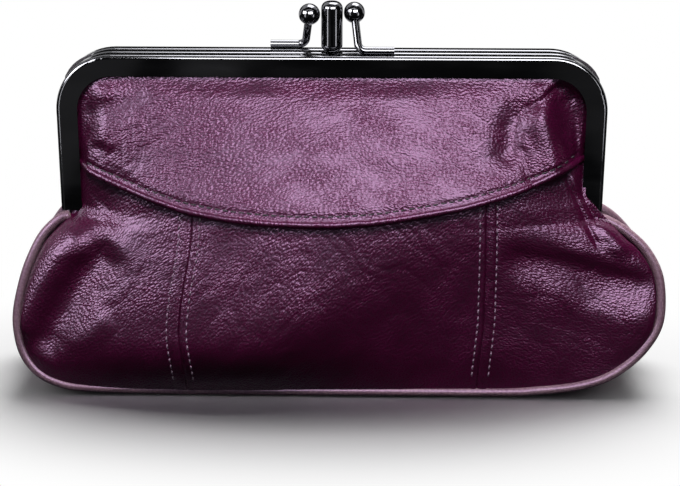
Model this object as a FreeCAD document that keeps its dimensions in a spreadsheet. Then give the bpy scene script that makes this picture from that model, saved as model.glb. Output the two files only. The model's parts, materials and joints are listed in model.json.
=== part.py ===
"""Kiss lock frame purse: two leather compartments hung in a three rail metal frame.

X runs across the purse, the front faces -Y and Z points up. The origin is the middle of the
base, on the surface that the purse stands on. All sizes are millimetres.
"""
import FreeCAD
import Part
import math
import os
import Sketcher
from FreeCAD import Placement, Rotation, Vector

DIMENSIONS = [
    ("frame_width", 165.0, "outside width of the three rails"),
    ("frame_top", 104.8, "height of the rails' top above the base"),
    ("hinge_height", 53.0, "height of the hinge line above the base"),
    ("corner_radius", 17.0, "outside corner of a rail"),
    ("rail_face", 6.4, "width of a rail seen from the front"),
    ("rail_wall", 0.7, "sheet metal of a rail"),
    ("rail_gap", 0.3, "running gap between two closed rails"),
    ("rail_edge_round", 1.2, "rounding of a rail's outer edges"),
    ("lug_thickness", 0.9, "hinge lug of a rail"),
    ("lug_gap", 0.25, "running gap between two hinge lugs"),
    ("lug_radius", 3.2, "rounded end of a hinge lug"),
    ("lug_reach", 6.0, "length of a hinge lug inside its rail"),
    ("arm_clearance", 0.3, "gap between a rail's end and the lugs of the other rails"),
    ("rivet_radius", 1.1, "shank of a hinge rivet"),
    ("rivet_fit", 0.05, "radial and axial play of a hinge rivet"),
    ("rivet_head_radius", 2.2, "domed head of a hinge rivet"),
    ("rivet_head_height", 0.8, "height of a rivet's domed head"),
    ("ball_radius", 3.2, "clasp ball"),
    ("ball_rise", 10.3, "height of a ball's centre above its foot"),
    ("ball_cross", 1.5, "depth by which a ball passes the middle of the clasp"),
    ("post_radius", 3.25, "centre post of the clasp"),
    ("post_height", 15.2, "height of the centre post above the rail"),
    ("post_round", 2.2, "rounded ends of the centre post"),
    ("tenon_radius", 0.8, "tenon of the centre post in the middle rail"),
    ("clasp_gap", 0.2, "running gap between a ball and the centre post"),
    ("stem_radius", 1.2, "bent rod that carries a clasp ball"),
    ("stem_bend", 2.4, "bend between a stem and its foot"),
    ("stem_lean", 1.4, "sideways lean of a stem towards the post"),
    ("foot_length", 10.5, "length of a stem's foot along the rail"),
    ("braze_gap", 0.03, "brazed joint of the clasp pieces"),
    ("body_width", 198.0, "widest part of the leather body"),
    ("base_depth", 44.0, "depth of the base from seam to seam"),
    ("base_corner", 28.0, "lower corner of the body"),
    ("rim_room", 2.55, "room between the body's rim and the closed rails"),
    ("rim_clearance", 1.0, "gap between the body's rim and the hinge lugs"),
    ("belly", 9.0, "swell of the front beyond the straight line from base to rail"),
    ("crown_rest", 0.15, "swell that is left at the edges of the front"),
    ("leather", 1.2, "thickness of the leather"),
    ("lining", 0.4, "thickness of the lining cloth"),
    ("divider", 1.0, "thickness of the divider between the compartments"),
    ("layer_gap", 0.1, "gap between two sewn or glued layers"),
    ("channel_gap", 0.05, "gap between the packed layers and the rail's sheet"),
    ("channel_end_gap", 0.3, "gap between a sheet's edge and the bottom of its channel"),
    ("window_room", 0.4, "gap between the swelling leather and the rail's lip"),
    ("paper_cord_radius", 0.5, "paper cord that packs a rail's channel"),
    ("piping_radius", 1.5, "piping along the body's edges"),
    ("piping_wall", 0.6, "leather cover of the piping"),
    ("piping_lift", 0.3, "distance of the piping inside the body's outline"),
    ("yoke_rise", 8.3, "height of the yoke's lower corners above the hinge lugs"),
    ("yoke_sag", 16.0, "drop of the yoke's lower edge from its corners to the middle"),
    ("yoke_gap", 0.3, "gap below the yoke's lower edge"),
    ("panel_seam", 44.5, "distance of the two upright seams from the middle"),
    ("panel_gap", 0.1, "gap along an upright seam"),
    ("divider_corner", 8.0, "lower corner of the divider"),
    ("divider_reach", 7.0, "how far the divider may reach past the flat of the base"),
]

doc = FreeCAD.newDocument("kiss_lock_purse")
sheet = doc.addObject("Spreadsheet::Sheet", "dims")
for row, (alias, value, meaning) in enumerate(DIMENSIONS, 1):
    sheet.set(f"A{row}", alias)
    sheet.set(f"B{row}", str(value))
    sheet.setAlias(f"B{row}", alias)
    sheet.set(f"C{row}", meaning)
doc.recompute()

# Sizes that follow from the driving dimensions, as spreadsheet expressions.
FRAME_HALF = "(dims.frame_width / 2)"
STACK = ("(dims.leather + dims.lining + 2 * dims.paper_cord_radius + 2 * dims.layer_gap"
         " + 2 * dims.channel_gap)")
RAIL_DEPTH = f"({STACK} + 2 * dims.rail_wall)"
RAIL_PITCH = f"({RAIL_DEPTH} + dims.rail_gap)"
FRONT_FACE = f"({RAIL_PITCH} + {RAIL_DEPTH} / 2)"
ARM_END = "(dims.hinge_height + dims.lug_radius + dims.arm_clearance)"
LUG_END = f"({ARM_END} + dims.lug_reach)"
LUG_FACE = f"({FRAME_HALF} - dims.rail_edge_round)"
LUG_PITCH = "(dims.lug_thickness + dims.lug_gap)"
WINDOW_HALF = f"({FRAME_HALF} - dims.rail_face)"
WINDOW_EDGE = f"({WINDOW_HALF} - dims.window_room)"
WINDOW_TOP = "(dims.frame_top - dims.rail_face - dims.window_room)"
SHEET_INSET = "(dims.rail_wall + dims.channel_end_gap)"
SHEET_HALF = f"({FRAME_HALF} - {SHEET_INSET})"
SHEET_TOP = f"(dims.frame_top - {SHEET_INSET})"
SHEET_CORNER = f"(dims.corner_radius - {SHEET_INSET})"
LEATHER_FACE = f"({FRONT_FACE} - dims.rail_wall - dims.channel_gap)"
LINING_FACE = f"({LEATHER_FACE} - dims.leather - dims.layer_gap)"
FOOT_AXIS = "(dims.frame_top + dims.stem_radius + dims.braze_gap)"
BALL_REACH = f"({RAIL_PITCH} + dims.ball_cross)"
STEM_LENGTH = f"sqrt(dims.ball_rise ^ 2 + {BALL_REACH} ^ 2)"
BALL_PLACE = "(dims.post_radius + dims.clasp_gap + dims.ball_radius)"
BODY_HALF = "(dims.body_width / 2)"
BASE_HALF = "(dims.base_depth / 2)"
BASE_FLAT = f"({BODY_HALF} - dims.base_corner)"
RIM_TOP = "(dims.hinge_height - dims.lug_radius - dims.rim_clearance)"
SEAM_RUN = f"({BASE_HALF} - {FRONT_FACE} - dims.rim_room)"
SEAM_TOP = f"sqrt({RIM_TOP} ^ 2 + {SEAM_RUN} ^ 2)"
SEAM_TILT = f"atan({SEAM_RUN} / {RIM_TOP})"
SHOULDER_TURN_DEGREES = 45
SHOULDER_RISE = f"({SEAM_TOP} - dims.base_corner)"
SHOULDER = f"({SHOULDER_RISE} / sin({SHOULDER_TURN_DEGREES}))"
PIPING_INSET = "(dims.piping_radius + dims.piping_lift)"
PIPING_FRONT = "(dims.piping_radius + dims.crown_rest + dims.layer_gap)"
PANEL_INSET = f"({PIPING_INSET} + dims.piping_radius + dims.layer_gap)"
DIVIDER_HALF = f"min({WINDOW_EDGE}; {BASE_FLAT} + dims.divider_reach)"
YOKE_SIDE = f"({LUG_END} + dims.yoke_rise)"
YOKE_MIDDLE = f"({YOKE_SIDE} - dims.yoke_sag)"
YOKE_RADIUS = f"(({SHEET_HALF} ^ 2 + dims.yoke_sag ^ 2) / (2 * dims.yoke_sag))"

X_AXIS = Vector(1, 0, 0)
Y_AXIS = Vector(0, 1, 0)
Z_AXIS = Vector(0, 0, 1)
LEFT_TURN, RIGHT_TURN = 1, -1
SIDES = (-1, 1)

nodes = []


def size(expression):
    """Value of a spreadsheet expression."""
    return sheet.evalExpression(expression)


def keep(label, piece):
    """Names a finished sub-part."""
    piece.Label = label
    nodes.append(piece)
    return piece


def new_body(name):
    return doc.addObject("PartDesign::Body", name)


def new_sketch(body, plane_role, offset="0", tilt=None):
    """Sketch on one of the body's own planes, moved along its normal and tilted about X."""
    sketch = body.newObject("Sketcher::SketchObject", f"{body.Name}_sketch")
    plane = next(feature for feature in body.Origin.OriginFeatures if feature.Role == plane_role)
    sketch.AttachmentSupport = [(plane, "")]
    sketch.MapMode = "FlatFace"
    if tilt:
        axis, angle = tilt
        sketch.AttachmentOffset = Placement(Vector(), Rotation(axis, size(angle)))
        sketch.setExpression("AttachmentOffset.Rotation.Angle", angle)
    sketch.setExpression("AttachmentOffset.Base.z", offset)
    return sketch


def front_sketch(name):
    """Free sketch in the XZ plane, seen from the front."""
    sketch = doc.addObject("Sketcher::SketchObject", name)
    sketch.Placement = Placement(Vector(), Rotation(X_AXIS, 90))
    return sketch


def place_point(sketch, point, across, up):
    """Ties one end of an edge to a pair of expressions."""
    for kind, expression in (("DistanceX", across), ("DistanceY", up)):
        index = sketch.addConstraint(Sketcher.Constraint(kind, *point, size(expression)))
        sketch.setExpression(f"Constraints[{index}]", expression)


def arc_edge(start, end, radius, turn):
    """Arc of under a half circle from start to end; sketches keep arcs counter-clockwise."""
    first, last = (start, end) if turn == LEFT_TURN else (end, start)
    chord = last - first
    left = Vector(-chord.y, chord.x, 0) / chord.Length
    centre = (first + last) / 2 + left * math.sqrt(max(radius ** 2 - chord.Length ** 2 / 4, 0))
    angles = [math.atan2(point.y - centre.y, point.x - centre.x) for point in (first, last)]
    return Part.ArcOfCircle(Part.Circle(centre, Z_AXIS, radius), *angles)


def draw(sketch, corners, closed=True):
    """Draws an outline through corners, each (across, up) or (across, up, radius, turn).

    A radius makes the edge that leaves the corner an arc that turns left or right.
    """
    points = [Vector(size(corner[0]), size(corner[1]), 0) for corner in corners]
    edge_count = len(corners) if closed else len(corners) - 1
    ends = []
    for number in range(edge_count):
        start, end = points[number], points[(number + 1) % len(points)]
        if len(corners[number]) == 2:
            edge = sketch.addGeometry(Part.LineSegment(start, end), False)
            ends.append(((edge, 1), (edge, 2)))
            continue
        radius, turn = corners[number][2:]
        edge = sketch.addGeometry(arc_edge(start, end, size(radius), turn), False)
        ends.append(((edge, 1), (edge, 2))[::turn])
        index = sketch.addConstraint(Sketcher.Constraint("Radius", edge, size(radius)))
        sketch.setExpression(f"Constraints[{index}]", radius)
    for number in range(edge_count):
        place_point(sketch, ends[number][0], *corners[number][:2])
        if closed or number + 1 < edge_count:
            following = ends[(number + 1) % edge_count][0]
            sketch.addConstraint(Sketcher.Constraint("Coincident", *ends[number][1], *following))
    if not closed:
        place_point(sketch, ends[-1][1], *corners[-1][:2])


def draw_circle(sketch, across, up, radius):
    centre = Vector(size(across), size(up), 0)
    edge = sketch.addGeometry(Part.Circle(centre, Z_AXIS, size(radius)), False)
    index = sketch.addConstraint(Sketcher.Constraint("Radius", edge, size(radius)))
    sketch.setExpression(f"Constraints[{index}]", radius)
    place_point(sketch, (edge, 3), across, up)


def add_feature(body, kind, sketch, **expressions):
    """Adds a sketch based feature and binds its sizes."""
    feature = body.newObject(f"PartDesign::{kind}", f"{body.Name}_{kind.lower()}")
    feature.Profile = sketch
    for name, expression in expressions.items():
        feature.setExpression(name, expression)
    return feature


def cut_pocket(body, sketch, depth):
    """Pocket that has to take material away."""
    doc.recompute()
    before = body.Shape.Volume
    pocket = add_feature(body, "Pocket", sketch, Length=depth)
    doc.recompute()
    if body.Shape.Volume > before - 1e-3:
        raise RuntimeError(f"the pocket in {body.Name} removes nothing")
    return pocket


def revolve(body, sketch, axis):
    feature = add_feature(body, "Revolution", sketch)
    feature.ReferenceAxis = (sketch, [axis])
    return feature


def sweep(body, profile, path):
    """Pipe of a profile along an open path sketch."""
    doc.recompute()
    pipe = add_feature(body, "AdditivePipe", profile)
    pipe.Spine = (path, [f"Edge{number + 1}" for number in range(len(path.Shape.Edges))])
    return pipe


def mirrored(source, label, normal):
    """Sub-part that is the mirror image of another."""
    image = doc.addObject("Part::Mirroring", label)
    image.Source = source
    image.Normal = normal
    return keep(label, image)


def arch(half, bottom, top, radius):
    """Corners of an upright arch, from its lower left foot over the top to the right foot."""
    turn_height = f"({top} - {radius})"
    turn_half = f"({half} - {radius})"
    return [
        (f"-{half}", bottom),
        (f"-{half}", turn_height, radius, RIGHT_TURN),
        (f"-{turn_half}", top),
        (turn_half, top, radius, RIGHT_TURN),
        (half, turn_height),
        (half, bottom),
    ]


def backwards(corners):
    """The same open run of corners in the other direction."""
    run = []
    for number in reversed(range(len(corners))):
        point = corners[number][:2]
        arrival = corners[number - 1][2:] if number else ()
        run.append((*point, arrival[0], -arrival[1]) if arrival else point)
    return run


def outer_edges(shape):
    """Edges along the outside of a rail, on its front and back faces."""
    half, top, radius = size(FRAME_HALF), size("dims.frame_top"), size("dims.corner_radius")
    names = []
    for number, edge in enumerate(shape.Edges, 1):
        middle = edge.valueAt((edge.FirstParameter + edge.LastParameter) / 2)
        ends = [vertex.Point.y for vertex in edge.Vertexes]
        over = max(abs(middle.x) - (half - radius), 0)
        above = max(middle.z - (top - radius), 0)
        if over and above:
            outside = abs(math.hypot(over, above) - radius) < 1e-4
        else:
            outside = abs(over - radius) < 1e-4 or abs(above - radius) < 1e-4
        if outside and max(ends) - min(ends) < 1e-4:
            names.append(f"Edge{number}")
    return names


def lug_outline(rail):
    """Hinge lug in the YZ plane, from the rail's end down to the hinge line."""
    if rail == 0:
        half = f"({RAIL_DEPTH} / 2 - dims.rail_wall / 2)"
        return [(f"-{half}", LUG_END), (f"-{half}", "dims.hinge_height"),
                (half, "dims.hinge_height"), (half, LUG_END)]
    outside = f"({rail} * ({FRONT_FACE} - dims.rail_wall / 2))"
    inside = f"({rail} * ({RAIL_PITCH} - {RAIL_DEPTH} / 2 + dims.rail_wall / 2))"
    slant = "(dims.lug_radius * cos(45))"
    return [(outside, LUG_END), (outside, ARM_END),
            (f"{rail} * {slant}", f"dims.hinge_height - {slant}"),
            ("0", "dims.hinge_height"), (inside, ARM_END), (inside, LUG_END)]


def make_rail(label, rail, layer):
    """U channel bent into an arch, with a hinge lug on each arm.

    rail is -1 at the front, 0 in the middle and 1 at the back; layer counts the lugs that lie
    outside this rail's own.
    """
    body = new_body(label)
    centre = f"({rail} * {RAIL_PITCH})"
    outline = arch(FRAME_HALF, ARM_END, "dims.frame_top", "dims.corner_radius")
    window = backwards(arch(WINDOW_HALF, ARM_END, "(dims.frame_top - dims.rail_face)",
                            "(dims.corner_radius - dims.rail_face)"))
    bow = new_sketch(body, "XZ_Plane", f"-{centre} - {RAIL_DEPTH} / 2")
    draw(bow, outline + window)
    add_feature(body, "Pad", bow, Length=RAIL_DEPTH)
    channel = new_sketch(body, "XZ_Plane", f"-{centre} + {RAIL_DEPTH} / 2 - dims.rail_wall")
    draw(channel, arch(f"({FRAME_HALF} - dims.rail_wall)", f"({ARM_END} - dims.rail_wall)",
                       "(dims.frame_top - dims.rail_wall)",
                       "(dims.corner_radius - dims.rail_wall)"))
    pocket = cut_pocket(body, channel, f"{RAIL_DEPTH} - 2 * dims.rail_wall")
    rounding = body.newObject("PartDesign::Fillet", f"{label}_rounding")
    rounding.Base = (pocket, outer_edges(pocket.Shape))
    rounding.setExpression("Radius", "dims.rail_edge_round")
    outer_face = f"({LUG_FACE} - {layer} * {LUG_PITCH})"
    for side in SIDES:
        near_face = f"({outer_face} - dims.lug_thickness)" if side > 0 else f"-{outer_face}"
        plate = new_sketch(body, "YZ_Plane", near_face)
        draw(plate, lug_outline(rail))
        add_feature(body, "Pad", plate, Length="dims.lug_thickness")
        eye = new_sketch(body, "YZ_Plane", near_face)
        draw_circle(eye, "0", "dims.hinge_height", "dims.lug_radius")
        add_feature(body, "Pad", eye, Length="dims.lug_thickness")
        hole = new_sketch(body, "YZ_Plane", f"{near_face} + dims.lug_thickness")
        draw_circle(hole, "0", "dims.hinge_height", "dims.rivet_radius + dims.rivet_fit")
        cut_pocket(body, hole, "dims.lug_thickness")
    return keep(label, body)


def drill_tenon_hole(rail_body):
    """Hole for the centre post in the top of the middle rail."""
    hole = new_sketch(rail_body, "XY_Plane", "dims.frame_top")
    draw_circle(hole, "0", "0", "dims.tenon_radius + dims.rivet_fit")
    cut_pocket(rail_body, hole, "dims.rail_wall")


def make_rivet(label, side):
    """Rivet along X through the three lugs of one arm, with a domed head at each end."""
    body = new_body(label)
    inner = f"({LUG_FACE} - 2 * {LUG_PITCH} - dims.lug_thickness - dims.rivet_fit)"
    outer = f"({LUG_FACE} + dims.rivet_fit)"
    dome = "((dims.rivet_head_radius ^ 2 + dims.rivet_head_height ^ 2) / (2 * dims.rivet_head_height))"
    profile = new_sketch(body, "XY_Plane", "dims.hinge_height")
    turn = RIGHT_TURN * side
    draw(profile, [
        (f"{side} * ({inner} - dims.rivet_head_height)", "0", dome, turn),
        (f"{side} * {inner}", "dims.rivet_head_radius"),
        (f"{side} * {inner}", "dims.rivet_radius"),
        (f"{side} * {outer}", "dims.rivet_radius"),
        (f"{side} * {outer}", "dims.rivet_head_radius", dome, turn),
        (f"{side} * ({outer} + dims.rivet_head_height)", "0"),
    ])
    revolve(body, profile, "H_Axis")
    return keep(label, body)


def make_centre_post(label):
    """Round ended post on the middle rail, held by a tenon."""
    body = new_body(label)
    foot = "(dims.frame_top + dims.braze_gap)"
    top = "(dims.frame_top + dims.post_height)"
    tenon_end = "(dims.frame_top - dims.rail_wall - dims.channel_end_gap / 2)"
    flat = "(dims.post_radius - dims.post_round)"
    profile = new_sketch(body, "XZ_Plane")
    draw(profile, [
        ("0", tenon_end),
        ("dims.tenon_radius", tenon_end),
        ("dims.tenon_radius", foot),
        (flat, foot, "dims.post_round", LEFT_TURN),
        ("dims.post_radius", f"{foot} + dims.post_round"),
        ("dims.post_radius", f"{top} - dims.post_round", "dims.post_round", LEFT_TURN),
        (flat, top),
        ("0", top),
    ])
    revolve(body, profile, "V_Axis")
    return keep(label, body)


def lean_over(body, side):
    """Stands a clasp body on its rail and leans it over the middle of the clasp."""
    body.Placement = Placement(Vector(), Rotation(X_AXIS * -side, 1))
    body.setExpression("Placement.Rotation.Angle", f"atan({BALL_REACH} / dims.ball_rise)")
    body.setExpression("Placement.Base.x", f"{side} * ({BALL_PLACE} + dims.stem_lean)")
    body.setExpression("Placement.Base.y", f"{-side} * {RAIL_PITCH}")
    body.setExpression("Placement.Base.z", FOOT_AXIS)


def make_clasp_stem(label, side):
    """Bent rod: a foot along the rail's top, then a stem up to the middle of the ball."""
    body = new_body(label)
    path = new_sketch(body, "XZ_Plane")
    lean, length = size("dims.stem_lean"), size(STEM_LENGTH)
    tangent = size("dims.stem_bend") * math.tan((math.pi / 2 - math.atan2(lean, length)) / 2)
    along = Vector(-side * lean, length, 0)
    foot_end = Vector(side * size("dims.foot_length"), 0, 0)
    foot_start = Vector(side * tangent, 0, 0)
    stem_start = along * (tangent / along.Length)
    turn = RIGHT_TURN * side
    foot = path.addGeometry(Part.LineSegment(foot_end, foot_start), False)
    bend = path.addGeometry(arc_edge(foot_start, stem_start, size("dims.stem_bend"), turn), False)
    stem = path.addGeometry(Part.LineSegment(stem_start, along), False)
    bend_ends = (1, 2)[::turn]
    origin_point, level_axis = (-1, 1), -1
    place_point(path, (foot, 1), f"{side} * dims.foot_length", "0")
    path.addConstraint(Sketcher.Constraint("PointOnObject", foot, 2, level_axis))
    path.addConstraint(Sketcher.Constraint("Tangent", foot, 2, bend, bend_ends[0]))
    path.addConstraint(Sketcher.Constraint("Tangent", bend, bend_ends[1], stem, 1))
    path.addConstraint(Sketcher.Constraint("PointOnObject", *origin_point, stem))
    place_point(path, (stem, 2), f"{-side} * dims.stem_lean", STEM_LENGTH)
    index = path.addConstraint(Sketcher.Constraint("Radius", bend, size("dims.stem_bend")))
    path.setExpression(f"Constraints[{index}]", "dims.stem_bend")
    rod = new_sketch(body, "YZ_Plane", f"{side} * dims.foot_length")
    draw_circle(rod, "0", "0", "dims.stem_radius")
    sweep(body, rod, path)
    lean_over(body, side)
    return keep(label, body)


def make_clasp_ball(label, side):
    """Ball with a blind socket for its stem."""
    body = new_body(label)
    socket = "(dims.stem_radius + dims.braze_gap)"
    mouth = f"-sqrt(dims.ball_radius ^ 2 - {socket} ^ 2)"
    profile = new_sketch(body, "XZ_Plane")
    profile.AttachmentOffset = Placement(Vector(), Rotation(Z_AXIS * side, 1))
    profile.setExpression("AttachmentOffset.Base.x", f"{-side} * dims.stem_lean")
    profile.setExpression("AttachmentOffset.Base.y", STEM_LENGTH)
    profile.setExpression("AttachmentOffset.Rotation.Angle", f"atan(dims.stem_lean / {STEM_LENGTH})")
    draw(profile, [
        ("0", "dims.braze_gap"),
        (socket, "dims.braze_gap"),
        (socket, mouth, "dims.ball_radius", LEFT_TURN),
        ("dims.ball_radius", "0", "dims.ball_radius", LEFT_TURN),
        ("0", "dims.ball_radius"),
    ])
    revolve(body, profile, "V_Axis")
    lean_over(body, side)
    return keep(label, body)


def make_packing_cord(body, depth, radius):
    """Paper cord along the inside of a rail's channel, above the hinge lugs."""
    inset = f"({SHEET_INSET} + {radius})"
    half = f"({FRAME_HALF} - {inset})"
    foot = f"({LUG_END} + {radius})"
    path = new_sketch(body, "XZ_Plane", f"-{depth}")
    draw(path, arch(half, foot, f"(dims.frame_top - {inset})", f"(dims.corner_radius - {inset})"),
         closed=False)
    section = new_sketch(body, "XY_Plane", foot)
    draw_circle(section, f"-{half}", depth, radius)
    return sweep(body, section, path)


def make_packing():
    """Packing cords of the front, back and middle channels."""
    front = new_body("front_packing_cord")
    depth = f"(-{LINING_FACE} + dims.lining + dims.layer_gap + dims.paper_cord_radius)"
    make_packing_cord(front, depth, "dims.paper_cord_radius")
    keep("front_packing_cord", front)
    mirrored(front, "back_packing_cord", Y_AXIS)
    radius = f"(({STACK} - dims.divider) / 4 - dims.layer_gap)"
    middle = new_body("middle_front_packing_cord")
    make_packing_cord(middle, f"-(dims.divider / 2 + dims.layer_gap + {radius})", radius)
    keep("middle_front_packing_cord", middle)
    mirrored(middle, "middle_back_packing_cord", Y_AXIS)


def make_divider(label):
    """Stiff sheet between the compartments, held in the middle rail."""
    body = new_body(label)
    foot = "(dims.leather + dims.layer_gap)"
    turn = f"({DIVIDER_HALF} - dims.divider_corner)"
    shoulder = f"({LUG_END} + dims.layer_gap)"
    lower = [
        (DIVIDER_HALF, shoulder),
        (DIVIDER_HALF, f"{foot} + dims.divider_corner", "dims.divider_corner", RIGHT_TURN),
        (turn, foot),
        (f"-{turn}", foot, "dims.divider_corner", RIGHT_TURN),
        (f"-{DIVIDER_HALF}", f"{foot} + dims.divider_corner"),
        (f"-{DIVIDER_HALF}", shoulder),
    ]
    outline = new_sketch(body, "XZ_Plane", "-dims.divider / 2")
    draw(outline, arch(SHEET_HALF, shoulder, SHEET_TOP, SHEET_CORNER) + lower)
    add_feature(body, "Pad", outline, Length="dims.divider")
    return keep(label, body)


def body_edge(inset):
    """Corners of the body's edge in its tilted seam plane, from the left rim to the right rim."""
    rim = (f"({BODY_HALF} - {SHOULDER}"
           f" + sqrt(({SHOULDER} - {inset}) ^ 2 - {SHOULDER_RISE} ^ 2))")
    widest = f"({BODY_HALF} - {inset})"
    corner = f"(dims.base_corner - {inset})"
    shoulder = f"({SHOULDER} - {inset})"
    return [
        (f"-{rim}", SEAM_TOP, shoulder, LEFT_TURN),
        (f"-{widest}", "dims.base_corner", corner, LEFT_TURN),
        (f"-{BASE_FLAT}", inset),
        (BASE_FLAT, inset, corner, LEFT_TURN),
        (widest, "dims.base_corner", shoulder, LEFT_TURN),
        (rim, SEAM_TOP),
    ]


def make_gusset(label):
    """Leather strip round the sides and the base, from the front seam to the back seam."""
    body = new_body(label)
    profiles = []
    for side in SIDES:
        seam = new_sketch(body, "XZ_Plane", f"{side} * {BASE_HALF}", (X_AXIS * -side, SEAM_TILT))
        draw(seam, body_edge("0") + backwards(body_edge("dims.leather")))
        profiles.append(seam)
    doc.recompute()
    strip = body.newObject("PartDesign::AdditiveLoft", f"{label}_strip")
    strip.Profile = profiles[0]
    strip.Sections = profiles[1:]
    strip.Ruled = True
    return keep(label, body)


def make_piping(label, radii):
    """Round welt in front of the front seam; one radius for the core, two for the cover."""
    body = new_body(label)
    path = new_sketch(body, "XZ_Plane", f"{BASE_HALF} + {PIPING_FRONT} * cos({SEAM_TILT})",
                      (-X_AXIS, SEAM_TILT))
    path.setExpression("AttachmentOffset.Base.y", f"{PIPING_FRONT} * sin({SEAM_TILT})")
    right_half = body_edge(PIPING_INSET)[3:]
    draw(path, [("0", PIPING_INSET)] + right_half, closed=False)
    section = new_sketch(body, "YZ_Plane")
    depth = (f"-{BASE_HALF} - {PIPING_FRONT} * cos({SEAM_TILT})"
             f" + {PIPING_INSET} * sin({SEAM_TILT})")
    height = f"{PIPING_FRONT} * sin({SEAM_TILT}) + {PIPING_INSET} * cos({SEAM_TILT})"
    for radius in radii:
        draw_circle(section, depth, height, radius)
    half = sweep(body, section, path)
    doc.recompute()
    whole = body.newObject("PartDesign::Mirrored", f"{label}_mirror")
    whole.Originals = [half]
    plane = next(feature for feature in body.Origin.OriginFeatures if feature.Role == "YZ_Plane")
    whole.MirrorPlane = (plane, [""])
    body.Tip = whole
    return keep(label, body)


def edge_half(height, inset):
    """Half width of the body's edge, moved in by inset, at a height along the seam plane."""
    corner, shoulder = size("dims.base_corner"), size(SHOULDER)
    if height < corner:
        return size(BASE_FLAT) + math.sqrt((corner - inset) ** 2 - (corner - height) ** 2)
    return size(BODY_HALF) - shoulder + math.sqrt((shoulder - inset) ** 2 - (height - corner) ** 2)


def window_half(height):
    """Half width of the rail's window at a height, less the room for the leather."""
    turn = size("dims.corner_radius - dims.rail_face")
    above = max(height - size("dims.frame_top - dims.corner_radius"), 0)
    return size(WINDOW_EDGE) - turn + math.sqrt(turn ** 2 - above ** 2)


def section_wire(height, swell_half, flat_half, edge, crown, thickness):
    """Level section of a swelling sheet: flat at both ends, an arc between them."""
    def side(depth):
        flats = [Vector(across, edge + depth, height)
                 for across in (-flat_half, -swell_half, swell_half, flat_half)]
        arc = Part.Arc(flats[1], Vector(0, crown + depth, height), flats[2]).toShape()
        return flats, [Part.makeLine(flats[0], flats[1]), arc, Part.makeLine(flats[2], flats[3])]

    outer_points, outer = side(0)
    inner_points, inner = side(thickness)
    ends = [Part.makeLine(outer_points[-1], inner_points[-1]),
            Part.makeLine(inner_points[0], outer_points[0])]
    return Part.Wire(Part.__sortEdges__(outer + inner + ends))


TUB_CORNER_STEPS = (0.0, 0.28, 0.55, 1.0)
TUB_SHOULDER_STEPS = (0.5, 1.0)
WINDOW_STEPS = (0.0, 0.25, 0.5, 0.75, 0.9, 1.0)


def make_front_sheet(name, depth, thickness):
    """Swelling sheet over the whole front, set back by depth; it is cut into panels later.

    Below the rim its edges follow the seam plane, above it they lie in the rail's channel. Its
    middle swells out from a straight line between the two as a parabola of the height.
    """
    corner, shoulder = size("dims.base_corner"), size(SHOULDER)
    inset, flange = size(PANEL_INSET), size("dims.leather + dims.layer_gap")
    tilt = math.radians(size(SEAM_TILT))
    rim_angle = math.asin(size(SHOULDER_RISE) / (shoulder - inset))
    levels = [flange + size("dims.layer_gap")]
    levels += [corner - (corner - inset) * math.cos(step * math.pi / 2) for step in TUB_CORNER_STEPS]
    levels += [corner + (shoulder - inset) * math.sin(step * rim_angle) for step in TUB_SHOULDER_STEPS]
    low, high = levels[1] * math.cos(tilt), size(WINDOW_TOP)
    low_edge = -size(BASE_HALF) + levels[1] * math.sin(tilt)
    high_edge = -size(LEATHER_FACE)

    def crown(height):
        share = max((height - low) / (high - low), 0)
        swell = 4 * size("dims.belly") * share * (1 - share) + size("dims.crown_rest")
        return low_edge + (high_edge - low_edge) * share - swell

    wires = []
    for level in levels:
        height = level * math.cos(tilt)
        edge = -size(BASE_HALF) + level * math.sin(tilt)
        middle = min(crown(height), edge - size("dims.crown_rest"))
        swell_half = edge_half(max(level, inset), inset)
        wires.append(section_wire(height, swell_half, edge_half(level, flange),
                                  edge + depth, middle + depth, thickness))
    for step in WINDOW_STEPS:
        height = size(ARM_END) + step * (high - size(ARM_END))
        wires.append(section_wire(height, window_half(height), size(SHEET_HALF),
                                  high_edge + depth, crown(height) + depth, thickness))
    loft = doc.addObject("Part::Feature", f"{name}_swell")
    loft.Shape = Part.makeLoft(wires, True, True)
    strip = doc.addObject("Part::Box", f"{name}_strip")
    strip.setExpression("Length", f"2 * {SHEET_HALF}")
    strip.setExpression("Height", f"{SHEET_TOP} - {WINDOW_TOP}")
    strip.Width = thickness
    strip.setExpression("Placement.Base.x", f"-{SHEET_HALF}")
    strip.setExpression("Placement.Base.z", WINDOW_TOP)
    strip.Placement.Base.y = high_edge + depth
    whole = doc.addObject("Part::Fuse", name)
    whole.Base = loft
    whole.Tool = strip
    return whole


def cut_from(sheet_piece, label, corners):
    """Sub-part: what an outline seen from the front takes from a sheet."""
    outline = front_sketch(f"{label}_outline")
    draw(outline, corners)
    block = doc.addObject("Part::Extrusion", f"{label}_block")
    block.Base = outline
    block.DirMode = "Normal"
    block.Solid = True
    block.setExpression("LengthFwd", "dims.base_depth")
    piece = doc.addObject("Part::Common", label)
    piece.Base = sheet_piece
    piece.Tool = block
    return keep(label, piece)


def below_yoke(across):
    """Height of the lower panels' upper edge at a distance from the middle."""
    return (f"({YOKE_MIDDLE} + {YOKE_RADIUS}"
            f" - sqrt(({YOKE_RADIUS} + dims.yoke_gap) ^ 2 - {across} ^ 2))")


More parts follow.
